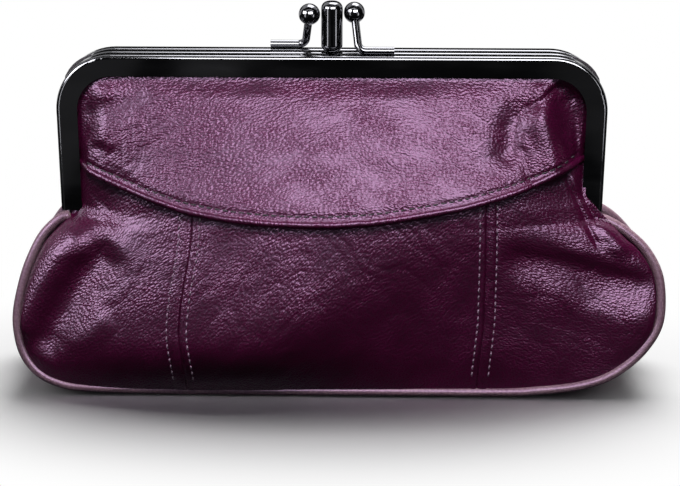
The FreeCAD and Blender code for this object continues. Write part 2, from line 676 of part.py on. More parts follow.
def make_leather_panels():
    """Yoke and lower panels of the front, and their images at the back."""
    front = make_front_sheet("front_leather", 0, size("dims.leather"))
    yoke = arch(SHEET_HALF, YOKE_SIDE, SHEET_TOP, SHEET_CORNER)
    yoke[-1] = (*yoke[-1], YOKE_RADIUS, RIGHT_TURN)
    below_radius = f"({YOKE_RADIUS} + dims.yoke_gap)"
    seam = "(dims.panel_seam - dims.panel_gap / 2)"
    beside = "(dims.panel_seam + dims.panel_gap / 2)"
    centre = [
        (f"-{seam}", "0"),
        (seam, "0"),
        (seam, below_yoke(seam), below_radius, RIGHT_TURN),
        (f"-{seam}", below_yoke(seam)),
    ]
    right = [
        (beside, "0"),
        (BODY_HALF, "0"),
        (BODY_HALF, RIM_TOP),
        (WINDOW_EDGE, RIM_TOP),
        (WINDOW_EDGE, below_yoke(WINDOW_EDGE), below_radius, RIGHT_TURN),
        (beside, below_yoke(beside)),
    ]
    front_pieces = [cut_from(front, "front_yoke", yoke),
                    cut_from(front, "front_centre_panel", centre),
                    cut_from(front, "front_right_panel", right)]
    front_pieces.append(mirrored(front_pieces[-1], "front_left_panel", X_AXIS))
    for piece in front_pieces:
        mirrored(piece, piece.Label.replace("front", "back"), Y_AXIS)


def make_linings():
    """Cloth behind the leather of each compartment, in one piece from base to rail."""
    depth = size(f"{LEATHER_FACE} - {LINING_FACE}")
    cloth = make_front_sheet("lining_cloth", depth, size("dims.lining"))
    upper = arch(SHEET_HALF, YOKE_SIDE, SHEET_TOP, SHEET_CORNER)
    lower = [
        (WINDOW_EDGE, YOKE_SIDE),
        (WINDOW_EDGE, RIM_TOP),
        (BODY_HALF, RIM_TOP),
        (BODY_HALF, "0"),
        (f"-{BODY_HALF}", "0"),
        (f"-{BODY_HALF}", RIM_TOP),
        (f"-{WINDOW_EDGE}", RIM_TOP),
        (f"-{WINDOW_EDGE}", YOKE_SIDE),
    ]
    front = cut_from(cloth, "front_lining", upper + lower)
    mirrored(front, "back_lining", Y_AXIS)


def export_nodes():
    """Checks every object and writes one file for each sub-part."""
    doc.recompute()
    for item in doc.Objects:
        if {"Invalid", "Error"} & set(item.State):
            raise RuntimeError(f"{item.Label} failed: {item.State}")
    for node in nodes:
        if node.Shape.isNull() or not node.Shape.isValid() or len(node.Shape.Solids) != 1:
            raise RuntimeError(f"{node.Label} is not one valid solid")
    os.makedirs("parts", exist_ok=True)
    for node in nodes:
        node.Shape.exportStep(f"parts/{node.Label}.step")


make_rail("front_frame", -1, 1)
drill_tenon_hole(make_rail("middle_frame", 0, 2))
make_rail("back_frame", 1, 0)
for side_name, side in zip(("left", "right"), SIDES):
    make_rivet(f"{side_name}_hinge_rivet", side)
make_centre_post("centre_clasp_post")
for rail_name, side in (("front", 1), ("back", -1)):
    make_clasp_stem(f"{rail_name}_clasp_stem", side)
    make_clasp_ball(f"{rail_name}_clasp_ball", side)
make_packing()
make_divider("divider_panel")
make_gusset("gusset_strip")
COVER_RADII = ("dims.piping_radius", "(dims.piping_radius - dims.piping_wall)")
CORE_RADII = ("(dims.piping_radius - dims.piping_wall - dims.channel_gap)",)
for piece_name, radii in (("piping", COVER_RADII), ("piping_core", CORE_RADII)):
    mirrored(make_piping(f"front_{piece_name}", radii), f"back_{piece_name}", Y_AXIS)
make_leather_panels()
make_linings()
export_nodes()
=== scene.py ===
"""Soft leather kiss lock purse, dressed round its hinged metal frame.

The metal of the frame stays as it is and gets its plating. The leather, the
pipings, the gusset, the linings, the divider and the thread are surfaces worked
out here in millimetres: a shape is a function of two parameters on a grid, or a
profile carried along a path.
"""
import json
import math

import bpy
import numpy as np
from mathutils import Euler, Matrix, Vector


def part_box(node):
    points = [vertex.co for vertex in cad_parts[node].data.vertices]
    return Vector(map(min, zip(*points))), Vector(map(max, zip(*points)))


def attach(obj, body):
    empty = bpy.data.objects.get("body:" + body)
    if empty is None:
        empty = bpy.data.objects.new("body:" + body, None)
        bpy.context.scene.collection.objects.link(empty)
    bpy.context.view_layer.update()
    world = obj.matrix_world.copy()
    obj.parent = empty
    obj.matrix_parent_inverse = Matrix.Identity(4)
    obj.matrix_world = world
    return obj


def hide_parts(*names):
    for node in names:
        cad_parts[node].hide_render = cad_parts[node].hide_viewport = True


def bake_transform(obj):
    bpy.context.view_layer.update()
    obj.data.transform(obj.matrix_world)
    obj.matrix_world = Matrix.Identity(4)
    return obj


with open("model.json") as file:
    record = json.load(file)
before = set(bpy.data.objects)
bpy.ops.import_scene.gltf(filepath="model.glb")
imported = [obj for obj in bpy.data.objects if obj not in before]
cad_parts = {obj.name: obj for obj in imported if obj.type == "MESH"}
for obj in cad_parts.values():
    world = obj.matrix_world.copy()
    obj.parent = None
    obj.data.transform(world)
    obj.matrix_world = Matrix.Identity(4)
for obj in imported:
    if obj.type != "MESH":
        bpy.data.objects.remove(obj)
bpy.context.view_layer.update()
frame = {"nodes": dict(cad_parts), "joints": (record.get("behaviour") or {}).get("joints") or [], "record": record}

bl_info = {
    "name": "Kiss lock purse",
    "version": (1, 0, 0),
    "blender": (4, 5, 0),
    "location": "View3D > Sidebar > Purse",
    "description": "Leather, lining, thread and stage for a kiss lock frame purse",
    "category": "Object",
}

MM = 0.001
TO_MM = 1000.0
NODES = frame["nodes"]


# Sizes (mm)

def span(node):
    """Lowest and highest corner of a node of the frame, in millimetres."""
    low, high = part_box(node)
    return np.array(low) * TO_MM, np.array(high) * TO_MM


RAIL_LOW, RAIL_HIGH = span("front_frame")
RAIL_FACE_WIDTH = 6.4            # width of a rail's flat face
RAIL_SHEET = 0.7                 # thickness of the folded metal
WINDOW_HALF = RAIL_HIGH[0] - RAIL_FACE_WIDTH
WINDOW_TOP = RAIL_HIGH[2] - RAIL_FACE_WIDTH
WINDOW_CORNER = 10.6             # radius of the window's upper corners
CHANNEL_Y = RAIL_LOW[1] + RAIL_SHEET + 0.15   # leather face inside the front channel
HINGE_Z = frame["joints"][0]["pos_m"][2] * TO_MM

CROWN_LOW = (1.4, -18.2)         # height and depth where the swelling front begins
CROWN_HIGH = (WINDOW_TOP - 0.4, CHANNEL_Y)
YOKE_SLOPE, RAIL_SLOPE = 0.39, 0.11   # the yoke hangs out this much per unit of height, and more at the rail
PANEL_SLOPE = (0.10, 0.25)       # and the panels this much, on the right and on the left
CROWN_REACH = 6.0                # and turns under within about this distance of the belly
BELLY, BELLY_SAG = 50.0, 28.0    # height of the belly on the right, and how far it sags on the left
SAG_FROM = 44.0                  # it begins to sag here across
STEEP_FROM = 76.0                # height from which the front is steeper toward the rail
DENTS = (0.17, 0.06)             # depth of the broad and of the small dents

# Seam of the front, left end to right end, seen from the front: across, height.
SEAM_OUTLINE = (
    (-79.8, 55.0), (-82.9, 53.9), (-88.0, 49.0), (-91.7, 42.2), (-94.2, 35.4), (-96.3, 26.2), (-96.3, 19.5),
    (-94.6, 12.8), (-90.4, 7.2), (-83.7, 3.8), (-74.5, 2.5), (-47.3, 2.0), (1.9, 1.9),
    (51.6, 1.9), (63.3, 2.4), (75.0, 3.7), (84.2, 6.3), (91.4, 10.8), (96.6, 16.1),
    (100.2, 22.4), (101.0, 29.9), (99.8, 38.3), (95.7, 45.6), (89.4, 51.2), (83.6, 54.4), (80.2, 55.0))
EVEN_HALF = 88.0                 # half width by which the middle of the front is curved
SEAM_LEAN = 0.205                # the seam leans back by this much per unit of height
LEATHER_EDGE_Y = -18.4           # depth of the leather's edge at the ground
FLANGE = 3.2                     # reach of the piping's sewn flange
FLANGE_TURN = math.radians(38)   # it leads inwards and back, behind the leather
FLANGE_HALF = 0.36               # half its thickness
CORD_GAP = 0.03                  # clearance between the piping and its cord
PIPING_BEHIND = 0.3              # the piping's middle lies this far behind the leather's edge
YOKE_EDGE = (
    (-80.0, 72.6), (-73.9, 70.8), (-66.1, 68.3), (-58.6, 65.9), (-51.3, 63.8), (-44.0, 61.8), (-36.7, 60.6),
    (-29.6, 59.7), (-15.4, 58.7), (-1.3, 58.5), (12.8, 59.3), (26.9, 61.2), (41.1, 63.4), (55.5, 67.0),
    (62.8, 69.4), (70.3, 72.0), (80.0, 74.2))
LEFT_SEAM = ((-40.8, 66.0), (-41.1, 59.2), (-41.8, 50.0), (-43.0, 42.9), (-44.5, 34.2), (-45.3, 26.8),
             (-45.3, 22.1), (-44.4, 12.9), (-44.0, 2.4))
RIGHT_SEAM = ((46.3, 68.0), (46.3, 62.3), (46.4, 52.9), (46.5, 44.1), (46.5, 34.4), (46.5, 26.2),
              (45.9, 17.6), (45.3, 9.9), (45.0, 2.2))
LEFT_ROWS = (-3.7, 2.4)          # stitch rows, this far from the left seam
RIGHT_ROWS = (-1.9, 3.2)
SEAM_ROW_LOW = 6.0               # height where these rows begin
YOKE_ROW_HALF = 75.0             # half width of the yoke's stitch row

PANEL_INSET = 1.6                # the panels stop this far inside the seam's outline
PANEL_OVERLAP = 0.12             # and pass each other by this much at their seams
UNDER_YOKE = 4.5                 # and reach this far up under the yoke
LIP, LIP_AT_GROUND = 1.7, 0.3    # height of the puffed lip beside the piping, and its share at the ground

PHOTO_WIDTH, PHOTO_HEIGHT = 680, 486   # pixels
CAMERA_PLACE = (7.27, -456.75, 206.43)
CAMERA_PITCH, CAMERA_YAW, CAMERA_ROLL = 18.07, -0.64, -0.15
CAMERA_TURN = (math.radians(90 - CAMERA_PITCH), math.radians(CAMERA_ROLL), math.radians(-CAMERA_YAW))
CAMERA_SENSOR, CAMERA_LENS = 36.0, 82.38
CAMERA_SHIFT = -41 / PHOTO_WIDTH       # the photograph is framed below the optical axis

# Folds of the front: places in the photograph (pixels), depth inwards along the
# line, step (the left of the line's direction stands out, the right sinks in), width to
# the left and to the right (mm).
FOLD_PLACES = (
    # upper right: ridge that drops to the arm, valley from the corner with a sharp line, small creases
    (((571, 162), (565, 140), (558, 118), (555, 103), (562, 86)), 0.6, 2.4, 4.4, 5.4),
    (((560, 84), (543, 98), (527, 108), (515, 122), (511, 140), (509, 158)), 1.7, 0.0, 2.8, 4.8),
    (((561, 83), (543, 98), (527, 108), (519, 116)), 0.35, 0.0, 0.8, 0.9),
    (((522, 148), (524, 162), (529, 176), (531, 184)), 0.5, 0.0, 1.4, 1.4),
    (((563, 128), (568, 145), (573, 162)), 0.4, 0.0, 0.8, 0.8),
    # upper left: hollow along the arm, soft slanting hollows with bumps between them, one over the yoke's end
    (((91, 88), (92, 105), (92, 122), (90, 138)), 0.2, 0.9, 3.8, 3.0),
    (((90, 113), (104, 107), (120, 100), (142, 91)), 0.5, 0.0, 2.8, 3.2),
    (((104, 138), (122, 131), (142, 121)), -0.3, 0.0, 4.2, 4.2),
    (((82, 163), (94, 159), (106, 162)), -0.3, 0.0, 3.8, 3.8),
    (((104, 208), (113, 200), (122, 189), (128, 174)), 0.6, 0.0, 5.4, 5.4),
    # lower left: bulge beside the piping, which drops to a broad valley, and a tail ridge under it
    (((92, 240), (80, 257), (66, 275), (51, 298), (39, 320), (33, 336)), 0.0, -2.7, 5.4, 6.0),
    (((104, 318), (88, 331), (72, 342), (58, 352)), -0.7, 0.0, 4.4, 4.4),
    # lower right: soft valley and full ridge under it, taut fold over the arm with a thin crease
    (((514, 259), (537, 261), (560, 264), (585, 272), (605, 278), (626, 282), (648, 285)),
     1.4, 0.0, 3.6, 5.8),
    (((552, 294), (575, 304), (598, 313), (622, 318), (648, 319)), -0.6, 0.0, 4.4, 5.0),
    (((567, 178), (577, 200), (588, 226), (597, 244)), 0.7, 0.0, 0.8, 0.8),
    (((572, 178), (590, 205), (606, 228), (622, 248)), -1.2, 0.0, 2.5, 2.5),
)
FOLD_TAIL = 0.16                 # a fold runs out past its places by this share of its length

# Bundles of fine creases: middle (across, height), reach, direction in degrees,
# crease length, spacing, depth.
CREASES = (
    ((-20.0, 25.0), 30.0, 55.0, 16.0, 2.6, 0.16),
    ((-55.0, 78.0), 26.0, 32.0, 18.0, 2.8, 0.16),
    ((45.0, 82.0), 26.0, -38.0, 18.0, 2.8, 0.16),
    ((-66.0, 34.0), 20.0, 48.0, 14.0, 3.0, 0.14),
    ((74.0, 34.0), 26.0, -24.0, 16.0, 3.2, 0.16),
    ((0.0, 70.0), 40.0, 12.0, 14.0, 2.6, 0.10),
    ((20.0, 40.0), 34.0, -48.0, 14.0, 2.8, 0.13),
)

GRAIN_TURN = {"left": 48.0, "centre": 52.0, "right": -26.0}   # the way the leather is drawn, degrees
SIDES = ("front", "back")
FRONT_SEED, BACK_SEED = 11, 57   # for the noise of each side
BACK_FOLDS = 0.75                # the back's folds are this deep, beside the front's
GUSSET_TOP = 48.9                # the gusset ends just under the ears of the hinges
GUSSET_FOLD = 7.5                # and is folded in there by this much
LINING_INSET = 4.5               # below the hinge the linings stop this far inside the front's sides
LINING_BEHIND = 2.6              # and lie this far behind the leather, less in the rail


# Lines and noise

def ease(t):
    """Cubic ease from 0 to 1: 3 t^2 - 2 t^3, held outside."""
    t = np.clip(t, 0.0, 1.0)
    return t * t * (3 - 2 * t)


def smooth_line(points, count):
    """Catmull-Rom line through the points, sampled evenly along its length."""
    p = np.asarray(points, float)
    p_out = np.vstack([2 * p[0] - p[1], p, 2 * p[-1] - p[-2]])
    t = np.linspace(0, len(p) - 1, 40 * len(p))
    i = np.minimum(t.astype(int), len(p) - 2)
    f = (t - i)[:, None]
    a, b, c, d = (p_out[i + k] for k in range(4))
    q = 0.5 * (2 * b + (c - a) * f + (2 * a - 5 * b + 4 * c - d) * f ** 2
               + (3 * b - a - 3 * c + d) * f ** 3)
    run = np.r_[0, np.cumsum(np.linalg.norm(np.diff(q, axis=0), axis=1))]
    s = np.linspace(0, run[-1], count)
    return np.stack([np.interp(s, run, q[:, k]) for k in range(q.shape[1])], axis=1)


def cloudy(a, b, seed):
    """Noise from -1 to 1: seeded random values on a unit lattice, joined by ease curves."""
    side = 97
    table = np.random.default_rng(seed).uniform(-1, 1, (side, side))
    i, j = np.floor(a).astype(int), np.floor(b).astype(int)
    f, g = ease(a - i), ease(b - j)
    i, j, k, m = i % side, j % side, (i + 1) % side, (j + 1) % side
    return ((table[i, j] * (1 - f) + table[k, j] * f) * (1 - g)
            + (table[i, m] * (1 - f) + table[k, m] * f) * g)


def fold(x, z, points, depth, step, left, right):
    """A fold along a smooth line: of the distance d over the width of its side, a bell
    depth exp(-d^2) and a step -step d exp(0.5 - d^2 / 2), fading toward both ends."""
    line = smooth_line(points, 40)
    q = np.stack([x.ravel(), z.ravel()], axis=1)
    run = np.diff(line, axis=0)
    rel = q[:, None] - line[None, :-1]
    t = np.clip((rel * run).sum(2) / (run * run).sum(1), 0, 1)
    far = ((rel - t[..., None] * run) ** 2).sum(2)
    k, rows = far.argmin(1), np.arange(len(q))
    side = np.sign(run[k, 0] * rel[rows, k, 1] - run[k, 1] * rel[rows, k, 0])
    along = (k + t[rows, k]) / len(run)
    fade = ease(np.minimum(along, 1 - along) / 0.18)
    d = side * np.sqrt(far[rows, k]) / np.where(side > 0, left, right)
    shape = depth * np.exp(-d ** 2) - step * d * np.exp(0.5 - d ** 2 / 2)
    return (fade * shape).reshape(x.shape)


def fine_creases(x, z, seed):
    """Bundles of fine creases: narrow valleys where stretched, turned noise crosses
    zero, exp(-(n / 0.16)^2), each bundle fading out with distance from its middle."""
    total = np.zeros_like(x)
    for number, (middle, reach, turn, length, spacing, depth) in enumerate(CREASES):
        c, s = math.cos(math.radians(turn)), math.sin(math.radians(turn))
        along = (x * c + z * s) / length
        across = (z * c - x * s) / spacing
        bent = across + 0.4 * cloudy(along * 2, across / 3, seed + 90)
        n = cloudy(along + 31.0, bent + 47.0, seed + number)
        near = np.exp(-((x - middle[0]) ** 2 + (z - middle[1]) ** 2) / reach ** 2)
        total += depth * near * np.exp(-(n / 0.16) ** 2)
    return total


def on_side(points, side):
    """Points of the front, or the same mirrored to the back, where the shoulders hang
    lower by a bell of the height round 46 mm."""
    if side == "front":
        return points
    x, y, z = points[..., 0], points[..., 1], points[..., 2]
    drop = 4.0 * np.exp(-((z - 45) / 8) ** 2) * ease((np.abs(x) - 74) / 14)
    return np.stack([x, -y, z - drop], axis=-1)


# The leather front

OUTLINE = smooth_line(SEAM_OUTLINE, 600)
LOWEST = int(OUTLINE[:, 1].argmin())


def sides_at(z):
    """Left and right limit of the bulging front at each height: the seam's outline
    below, then the window of the rail with its rounded corners."""
    low_left = np.interp(z, OUTLINE[LOWEST::-1, 1], OUTLINE[LOWEST::-1, 0])
    low_right = np.interp(z, OUTLINE[LOWEST:, 1], OUTLINE[LOWEST:, 0])
    rise = np.clip(z - (WINDOW_TOP - WINDOW_CORNER), 0, WINDOW_CORNER)
    window = WINDOW_HALF - 0.3 - WINDOW_CORNER + np.sqrt(WINDOW_CORNER ** 2 - rise ** 2 + 1e-9)
    turn_left, turn_right = ease((z - HINGE_Z) / 6), ease((z - HINGE_Z) / 11)
    return (low_left * (1 - turn_left) - window * turn_left,
            low_right * (1 - turn_right) + window * turn_right)


def seam_depth(z):
    """Depth of the leather's edge at the seam, which leans back evenly up to the hinge,
    where the gusset is no wider than the rails."""
    return LEATHER_EDGE_Y + SEAM_LEAN * z


def edge_depth(x, z):
    """Depth of the leather where it is held: along the leaning seam, then into the
    rail's channel, deepest beside the arms. On the right it first passes over the end of
    the arm."""
    seam = seam_depth(z)
    left = np.interp(z, (0, 46, 54.5, 57.5, 60), (0, 0, 0.8, 1.0, 1.0))
    right = np.interp(z, (0, 56, 60, 63, 67), (0, 0, 0.05, 0.4, 1.0))
    held = np.where(x < 0, left, right)
    sunk = np.where(x < 0, 0.8, 1.9) * ease((z - 66) / 7) * ease((98 - z) / 8)
    return np.minimum(seam, np.where(x < 0, -7.6, -8.3)) * (1 - held) + (CHANNEL_Y + sunk) * held


def seam_distance(x, z):
    """Distance of each place from the piped seam, seen from the front."""
    q = np.stack([x.ravel(), z.ravel()], axis=1)
    near = ((q[:, None] - OUTLINE[None, ::4]) ** 2).sum(2).min(1)
    return np.sqrt(near).reshape(x.shape)


def seam_line(points, z):
    """Where a panel seam lies across, at each height."""
    line = smooth_line(points, 120)[::-1]
    return np.interp(z, line[:, 1], line[:, 0])


def crown_depth(x, z):
    """The front as it hangs: steepest at the rail, steep down to the yoke's edge, where it
    eases within 5 mm to the slope of the panels, P (1 - exp(-d / R)) at the distance d above
    the belly, and under the belly back to the seam by the power 1.8 of the way down. The
    belly sags on the left."""
    belly = BELLY - BELLY_SAG * ease((SAG_FROM - x) / 75)
    slope = PANEL_SLOPE[0] + (PANEL_SLOPE[1] - PANEL_SLOPE[0]) * ease((SAG_FROM - x) / 70)
    edge = yoke_edge_at(x)

    def hang(height):
        d = np.maximum(height - belly, 0)
        t = np.clip((height - edge + 2) / 5, 0, 1)
        eased = 5 * (t ** 3 - t ** 4 / 2) + np.maximum(height - edge - 3, 0)
        return (slope * (d - CROWN_REACH * (1 - np.exp(-d / CROWN_REACH)))
                + (YOKE_SLOPE - slope) * eased
                + RAIL_SLOPE * np.maximum(height - STEEP_FROM, 0) ** 2 / 44)

    deepest = CROWN_HIGH[1] - hang(CROWN_HIGH[0])
    under = np.clip((belly - z) / (belly - CROWN_LOW[0]), 0, 1) ** 1.8
    return deepest + hang(z) + (CROWN_LOW[1] - deepest) * under


def plain_front(x, z):
    """Depth of the front without lip, folds and seams, and each place's distance from the
    sides: from the held edge out to the crown by (1 - e^2.5)^0.72, where e runs from 0 in
    the middle to 1 at the sides, measured by one width for all heights in the middle and
    by the true width at the sides."""
    left, right = sides_at(z)
    middle, half = (left + right) / 2, np.maximum((right - left) / 2, 1.0)
    s = np.clip(np.abs(x - middle) / half, 0, 1)
    even = np.clip(np.abs(x - middle) / (half * s ** 2 + EVEN_HALF * (1 - s ** 2)), 0, 1)
    edge = edge_depth(x, z)
    swell = np.minimum(crown_depth(x, z) - edge, 0)
    return edge + swell * (1 - even ** 2.5) ** 0.72, (1 - s) * half


def lip(x, z, at_ground=1.0):
    """Puffed lip along the piping: (1 - exp(-d / 2.2)) exp(-(d / 16)^2) of the distance d from
    the seam, times its height, which goes down to a share of it at the ground and to nothing
    at the hinge."""
    away = seam_distance(x, z)
    puff = LIP * (at_ground + (1 - at_ground) * ease((z - 6) / 16)) * ease((58 - z) / 12)
    return puff * (1 - np.exp(-away / 2.2)) * np.exp(-(away / 16) ** 2)


def cast_on_front(pixels):
    """Places (x, z) on the front, with an even lip, that the camera shows at a line of pixels
    with its two tails. Each view ray is cut at a depth y, which goes half way to the depth of
    the front there, again and again."""
    p = np.asarray(pixels, float)
    first, last = p[0] - p[1], p[-1] - p[-2]
    tail = FOLD_TAIL * np.linalg.norm(np.diff(p, axis=0), axis=1).sum()
    start, stop = (end + way / np.linalg.norm(way) * tail for end, way in ((p[0], first), (p[-1], last)))
    p = np.vstack([start, p, stop])
    across = (p[:, 0] - PHOTO_WIDTH / 2) / PHOTO_WIDTH
    up = (PHOTO_HEIGHT / 2 - p[:, 1]) / PHOTO_WIDTH + CAMERA_SHIFT
    reach = CAMERA_SENSOR / CAMERA_LENS
    rays = np.stack([across * reach, up * reach, -np.ones(len(p))], axis=1)
    rays = rays @ np.array(Euler(CAMERA_TURN).to_matrix()).T
    y = np.full(len(p), -15.0)
    for _ in range(60):
        place = CAMERA_PLACE + ((y - CAMERA_PLACE[1]) / rays[:, 1])[:, None] * rays
        x, z = place[:, 0], np.maximum(place[:, 2], 0.9)
        y = 0.5 * y + 0.5 * (plain_front(x, z)[0] - lip(x, z))
    return np.round(place[:, [0, 2]], 1)


def front_depth(x, z, seed, strength, seams=True):
    """Depth y of the leather front at (x, z): the plain front with its lip along the piping,
    folds, fine creases and soft dents, and with the panels sunk along their seams and, from
    just below its edge, under the yoke."""
    y, inside = plain_front(x, z)
    y = y - lip(x, z, LIP_AT_GROUND)
    free = ease(inside / 2.6) * ease((CROWN_HIGH[0] - z) / 3.0)
    broad, small = cloudy(x / 17 + 5, z / 13 + 9, seed), cloudy(x / 7 + 3, z / 6 + 2, seed + 1)
    soft = DENTS[0] * broad + DENTS[1] * small + fine_creases(x, z, seed + 20)
    for settings in FOLDS:
        soft = soft + strength * fold(x, z, *settings)
    y = y + soft * free
    if seams:
        above = z - yoke_edge_at(x)
        y = y + (1.5 * ease((above + 0.9) / 1.5) - 0.35 * np.exp(-(above / 2.6) ** 2)) * free
        for points, rows in ((LEFT_SEAM, LEFT_ROWS), (RIGHT_SEAM, RIGHT_ROWS)):
            d = x - seam_line(points, z)
            welt = ease((d - rows[0] + 0.5) / 0.9) * ease((rows[1] + 0.5 - d) / 0.9)
            y = y - 0.2 * welt + 0.5 * np.exp(-(d / 0.45) ** 2)
            for row in rows:
                y = y + 0.22 * np.exp(-((d - row) / 0.42) ** 2)
    return y


def yoke_edge_at(x):
    """Height of the yoke's lower edge at each place across."""
    line = smooth_line(YOKE_EDGE, 200)
    return np.interp(x, line[:, 0], line[:, 1])


FOLDS = [(cast_on_front(places), *shape) for places, *shape in FOLD_PLACES]


def yoke_depth(x, z, seed, strength):
    """The yoke lies on the panels: the front without its seams, brought forward by
    the lap, a little sunk along its stitch row."""
    sizes = bpy.context.scene.purse_sizes
    above = z - yoke_edge_at(x)
    left, right = sides_at(z)
    free = ease(np.minimum(x - left, right - x) / 3.0) * ease((CROWN_HIGH[0] - z) / 6.0)
    lap = sizes.yoke_lap * TO_MM * (0.55 + 0.45 * np.exp(-(above / 9.0) ** 2))
    row = sizes.yoke_row * TO_MM
    sunk = 0.32 * np.exp(-((above - row) / 0.6) ** 2)
    return front_depth(x, z, seed, strength, seams=False) - (lap - sunk) * free


# Mesh work

def patch(bottom, top, left, right):
    """Coons patch in the plane: the sum of the two ruled surfaces between opposite
    borders, less the bilinear one of the corners."""
    u = np.linspace(0, 1, len(bottom))[None, :, None]
    v = np.linspace(0, 1, len(left))[:, None, None]
    return ((1 - v) * bottom[None] + v * top[None] + (1 - u) * left[:, None] + u * right[:, None]
            - (1 - u) * (1 - v) * bottom[0] - u * (1 - v) * bottom[-1]
            - (1 - u) * v * top[0] - u * v * top[-1])


def grid_normals(grid):
    """Unit normals of a grid: the cross product of its two difference vectors."""
    n = np.cross(np.gradient(grid, axis=1), np.gradient(grid, axis=0))
    return n / np.maximum(np.linalg.norm(n, axis=2, keepdims=True), 1e-9)


def quads(rows, columns, start=0, around=False):
    """Corner numbers of the quads of a grid; around joins the last column to the first."""
    index = start + np.arange(rows * columns).reshape(rows, columns)
    if around:
        index = np.hstack([index, index[:, :1]])
    return np.stack([index[:-1, :-1], index[:-1, 1:], index[1:, 1:], index[1:, :-1]], axis=2).reshape(-1, 4)


def shell(outer, inner):
    """Closed sheet between two like grids: both faces and the strip round their rim."""
    rows, columns = outer.shape[:2]
    count = rows * columns
    index = np.arange(count).reshape(rows, columns)
    rim = np.r_[index[0, :-1], index[:-1, -1], index[-1, :0:-1], index[:0:-1, 0]]
    after = np.roll(rim, -1)
    sides = np.stack([after, rim, rim + count, after + count], axis=1)
    faces = np.vstack([quads(rows, columns), quads(rows, columns, count)[:, ::-1], sides])
    return np.vstack([outer.reshape(-1, 3), inner.reshape(-1, 3)]), faces


def flat_lengths(grid):
    """Lengths along the rows and columns of a grid, as a flat map in metres."""
    across = np.cumsum(np.linalg.norm(np.diff(grid, axis=1, prepend=grid[:, :1]), axis=2), axis=1)
    along = np.cumsum(np.linalg.norm(np.diff(grid, axis=0, prepend=grid[:1]), axis=2), axis=0)
    middle = grid.shape[1] // 2
    return np.stack([across - across[:, middle:middle + 1], along], axis=2) * MM


def make_piece(name, points, faces, material, flat, grain=None):
    """Puts points (mm) and faces (arrays of corner numbers) into a new smooth mesh,
    turned round where its volume comes out negative, with a flat map in metres and
    the grain's own map, which follows the stretch of the leather."""
    groups = faces if isinstance(faces, list) else [faces]
    tri = np.vstack([np.vstack([g[:, [0, k, k + 1]] for k in range(1, g.shape[1] - 1)]) for g in groups])
    a, b, c = (points[tri[:, k]] for k in range(3))
    if (a * np.cross(b, c)).sum() < 0:
        groups = [g[:, ::-1] for g in groups]
    corners = np.concatenate([g.ravel() for g in groups]).astype(np.int32)
    totals = np.concatenate([np.full(len(g), g.shape[1]) for g in groups]).astype(np.int32)
    mesh = bpy.data.meshes.new(name)
    mesh.vertices.add(len(points))
    mesh.vertices.foreach_set("co", (points * MM).astype(np.float32).ravel())
    mesh.loops.add(len(corners))
    mesh.loops.foreach_set("vertex_index", corners)
    mesh.polygons.add(len(totals))
    mesh.polygons.foreach_set("loop_start", np.r_[0, np.cumsum(totals)[:-1]].astype(np.int32))
    mesh.polygons.foreach_set("use_smooth", np.ones(len(totals), bool))
    for key, chart in (("flat", flat), ("grain", flat if grain is None else grain)):
        layer = mesh.uv_layers.new(name=key)
        layer.data.foreach_set("uv", chart.reshape(-1, 2)[corners].astype(np.float32).ravel())
    mesh.update(calc_edges=True)
    if mesh.validate():
        raise RuntimeError(f"{name}: its mesh had faults")
    mesh.materials.append(material)
    piece = bpy.data.objects.new(name, mesh)
    bpy.context.scene.collection.objects.link(piece)
    return piece


def grain_map(flat, turn, stretch=1.7):
    """The flat map turned by an angle in degrees and drawn together along it, so that
    the grain comes out longer in that direction."""
    c, s = math.cos(math.radians(turn)), math.sin(math.radians(turn))
    along, across = flat[..., 0] * c + flat[..., 1] * s, flat[..., 1] * c - flat[..., 0] * s
    return np.stack([along / stretch, across], axis=-1)


def leather_sheet(name, grid, thick, material, side="front", grain=None):
    """A closed sheet of leather from its outer face, mirrored in depth for the back."""
    inner = grid - thick * grid_normals(grid)
    flat = flat_lengths(grid).reshape(-1, 2)
    chart = flat if grain is None else grain.reshape(-1, 2)
    points, faces = shell(grid, inner)
    return make_piece(name, on_side(points, side), faces, material, np.vstack([flat, flat]),
                      np.vstack([chart, chart]))


def carried_profile(path, normal, profile):
    """A closed profile carried along a path: each point is the path's point plus the
    profile's first value times the outward direction plus its second times normal."""
    tangent = np.gradient(path, axis=0)
    tangent /= np.linalg.norm(tangent, axis=1, keepdims=True)
    normal = normal - (normal * tangent).sum(1, keepdims=True) * tangent
    normal /= np.linalg.norm(normal, axis=1, keepdims=True)
    outward = np.cross(tangent, normal)
    grid = (path[:, None] + profile[None, :, :1] * outward[:, None] + profile[None, :, 1:] * normal[:, None])
    rows, columns = grid.shape[:2]
    ends = [np.arange(columns)[None, ::-1], (rows - 1) * columns + np.arange(columns)[None]]
    run = np.r_[0, np.cumsum(np.linalg.norm(np.diff(path, axis=0), axis=1))]
    round_it = np.r_[0, np.cumsum(np.linalg.norm(np.diff(profile, axis=0), axis=1))]
    flat = np.stack(np.meshgrid(round_it, run), axis=2) * MM
    return grid.reshape(-1, 3), [quads(rows, columns, around=True)] + ends, flat


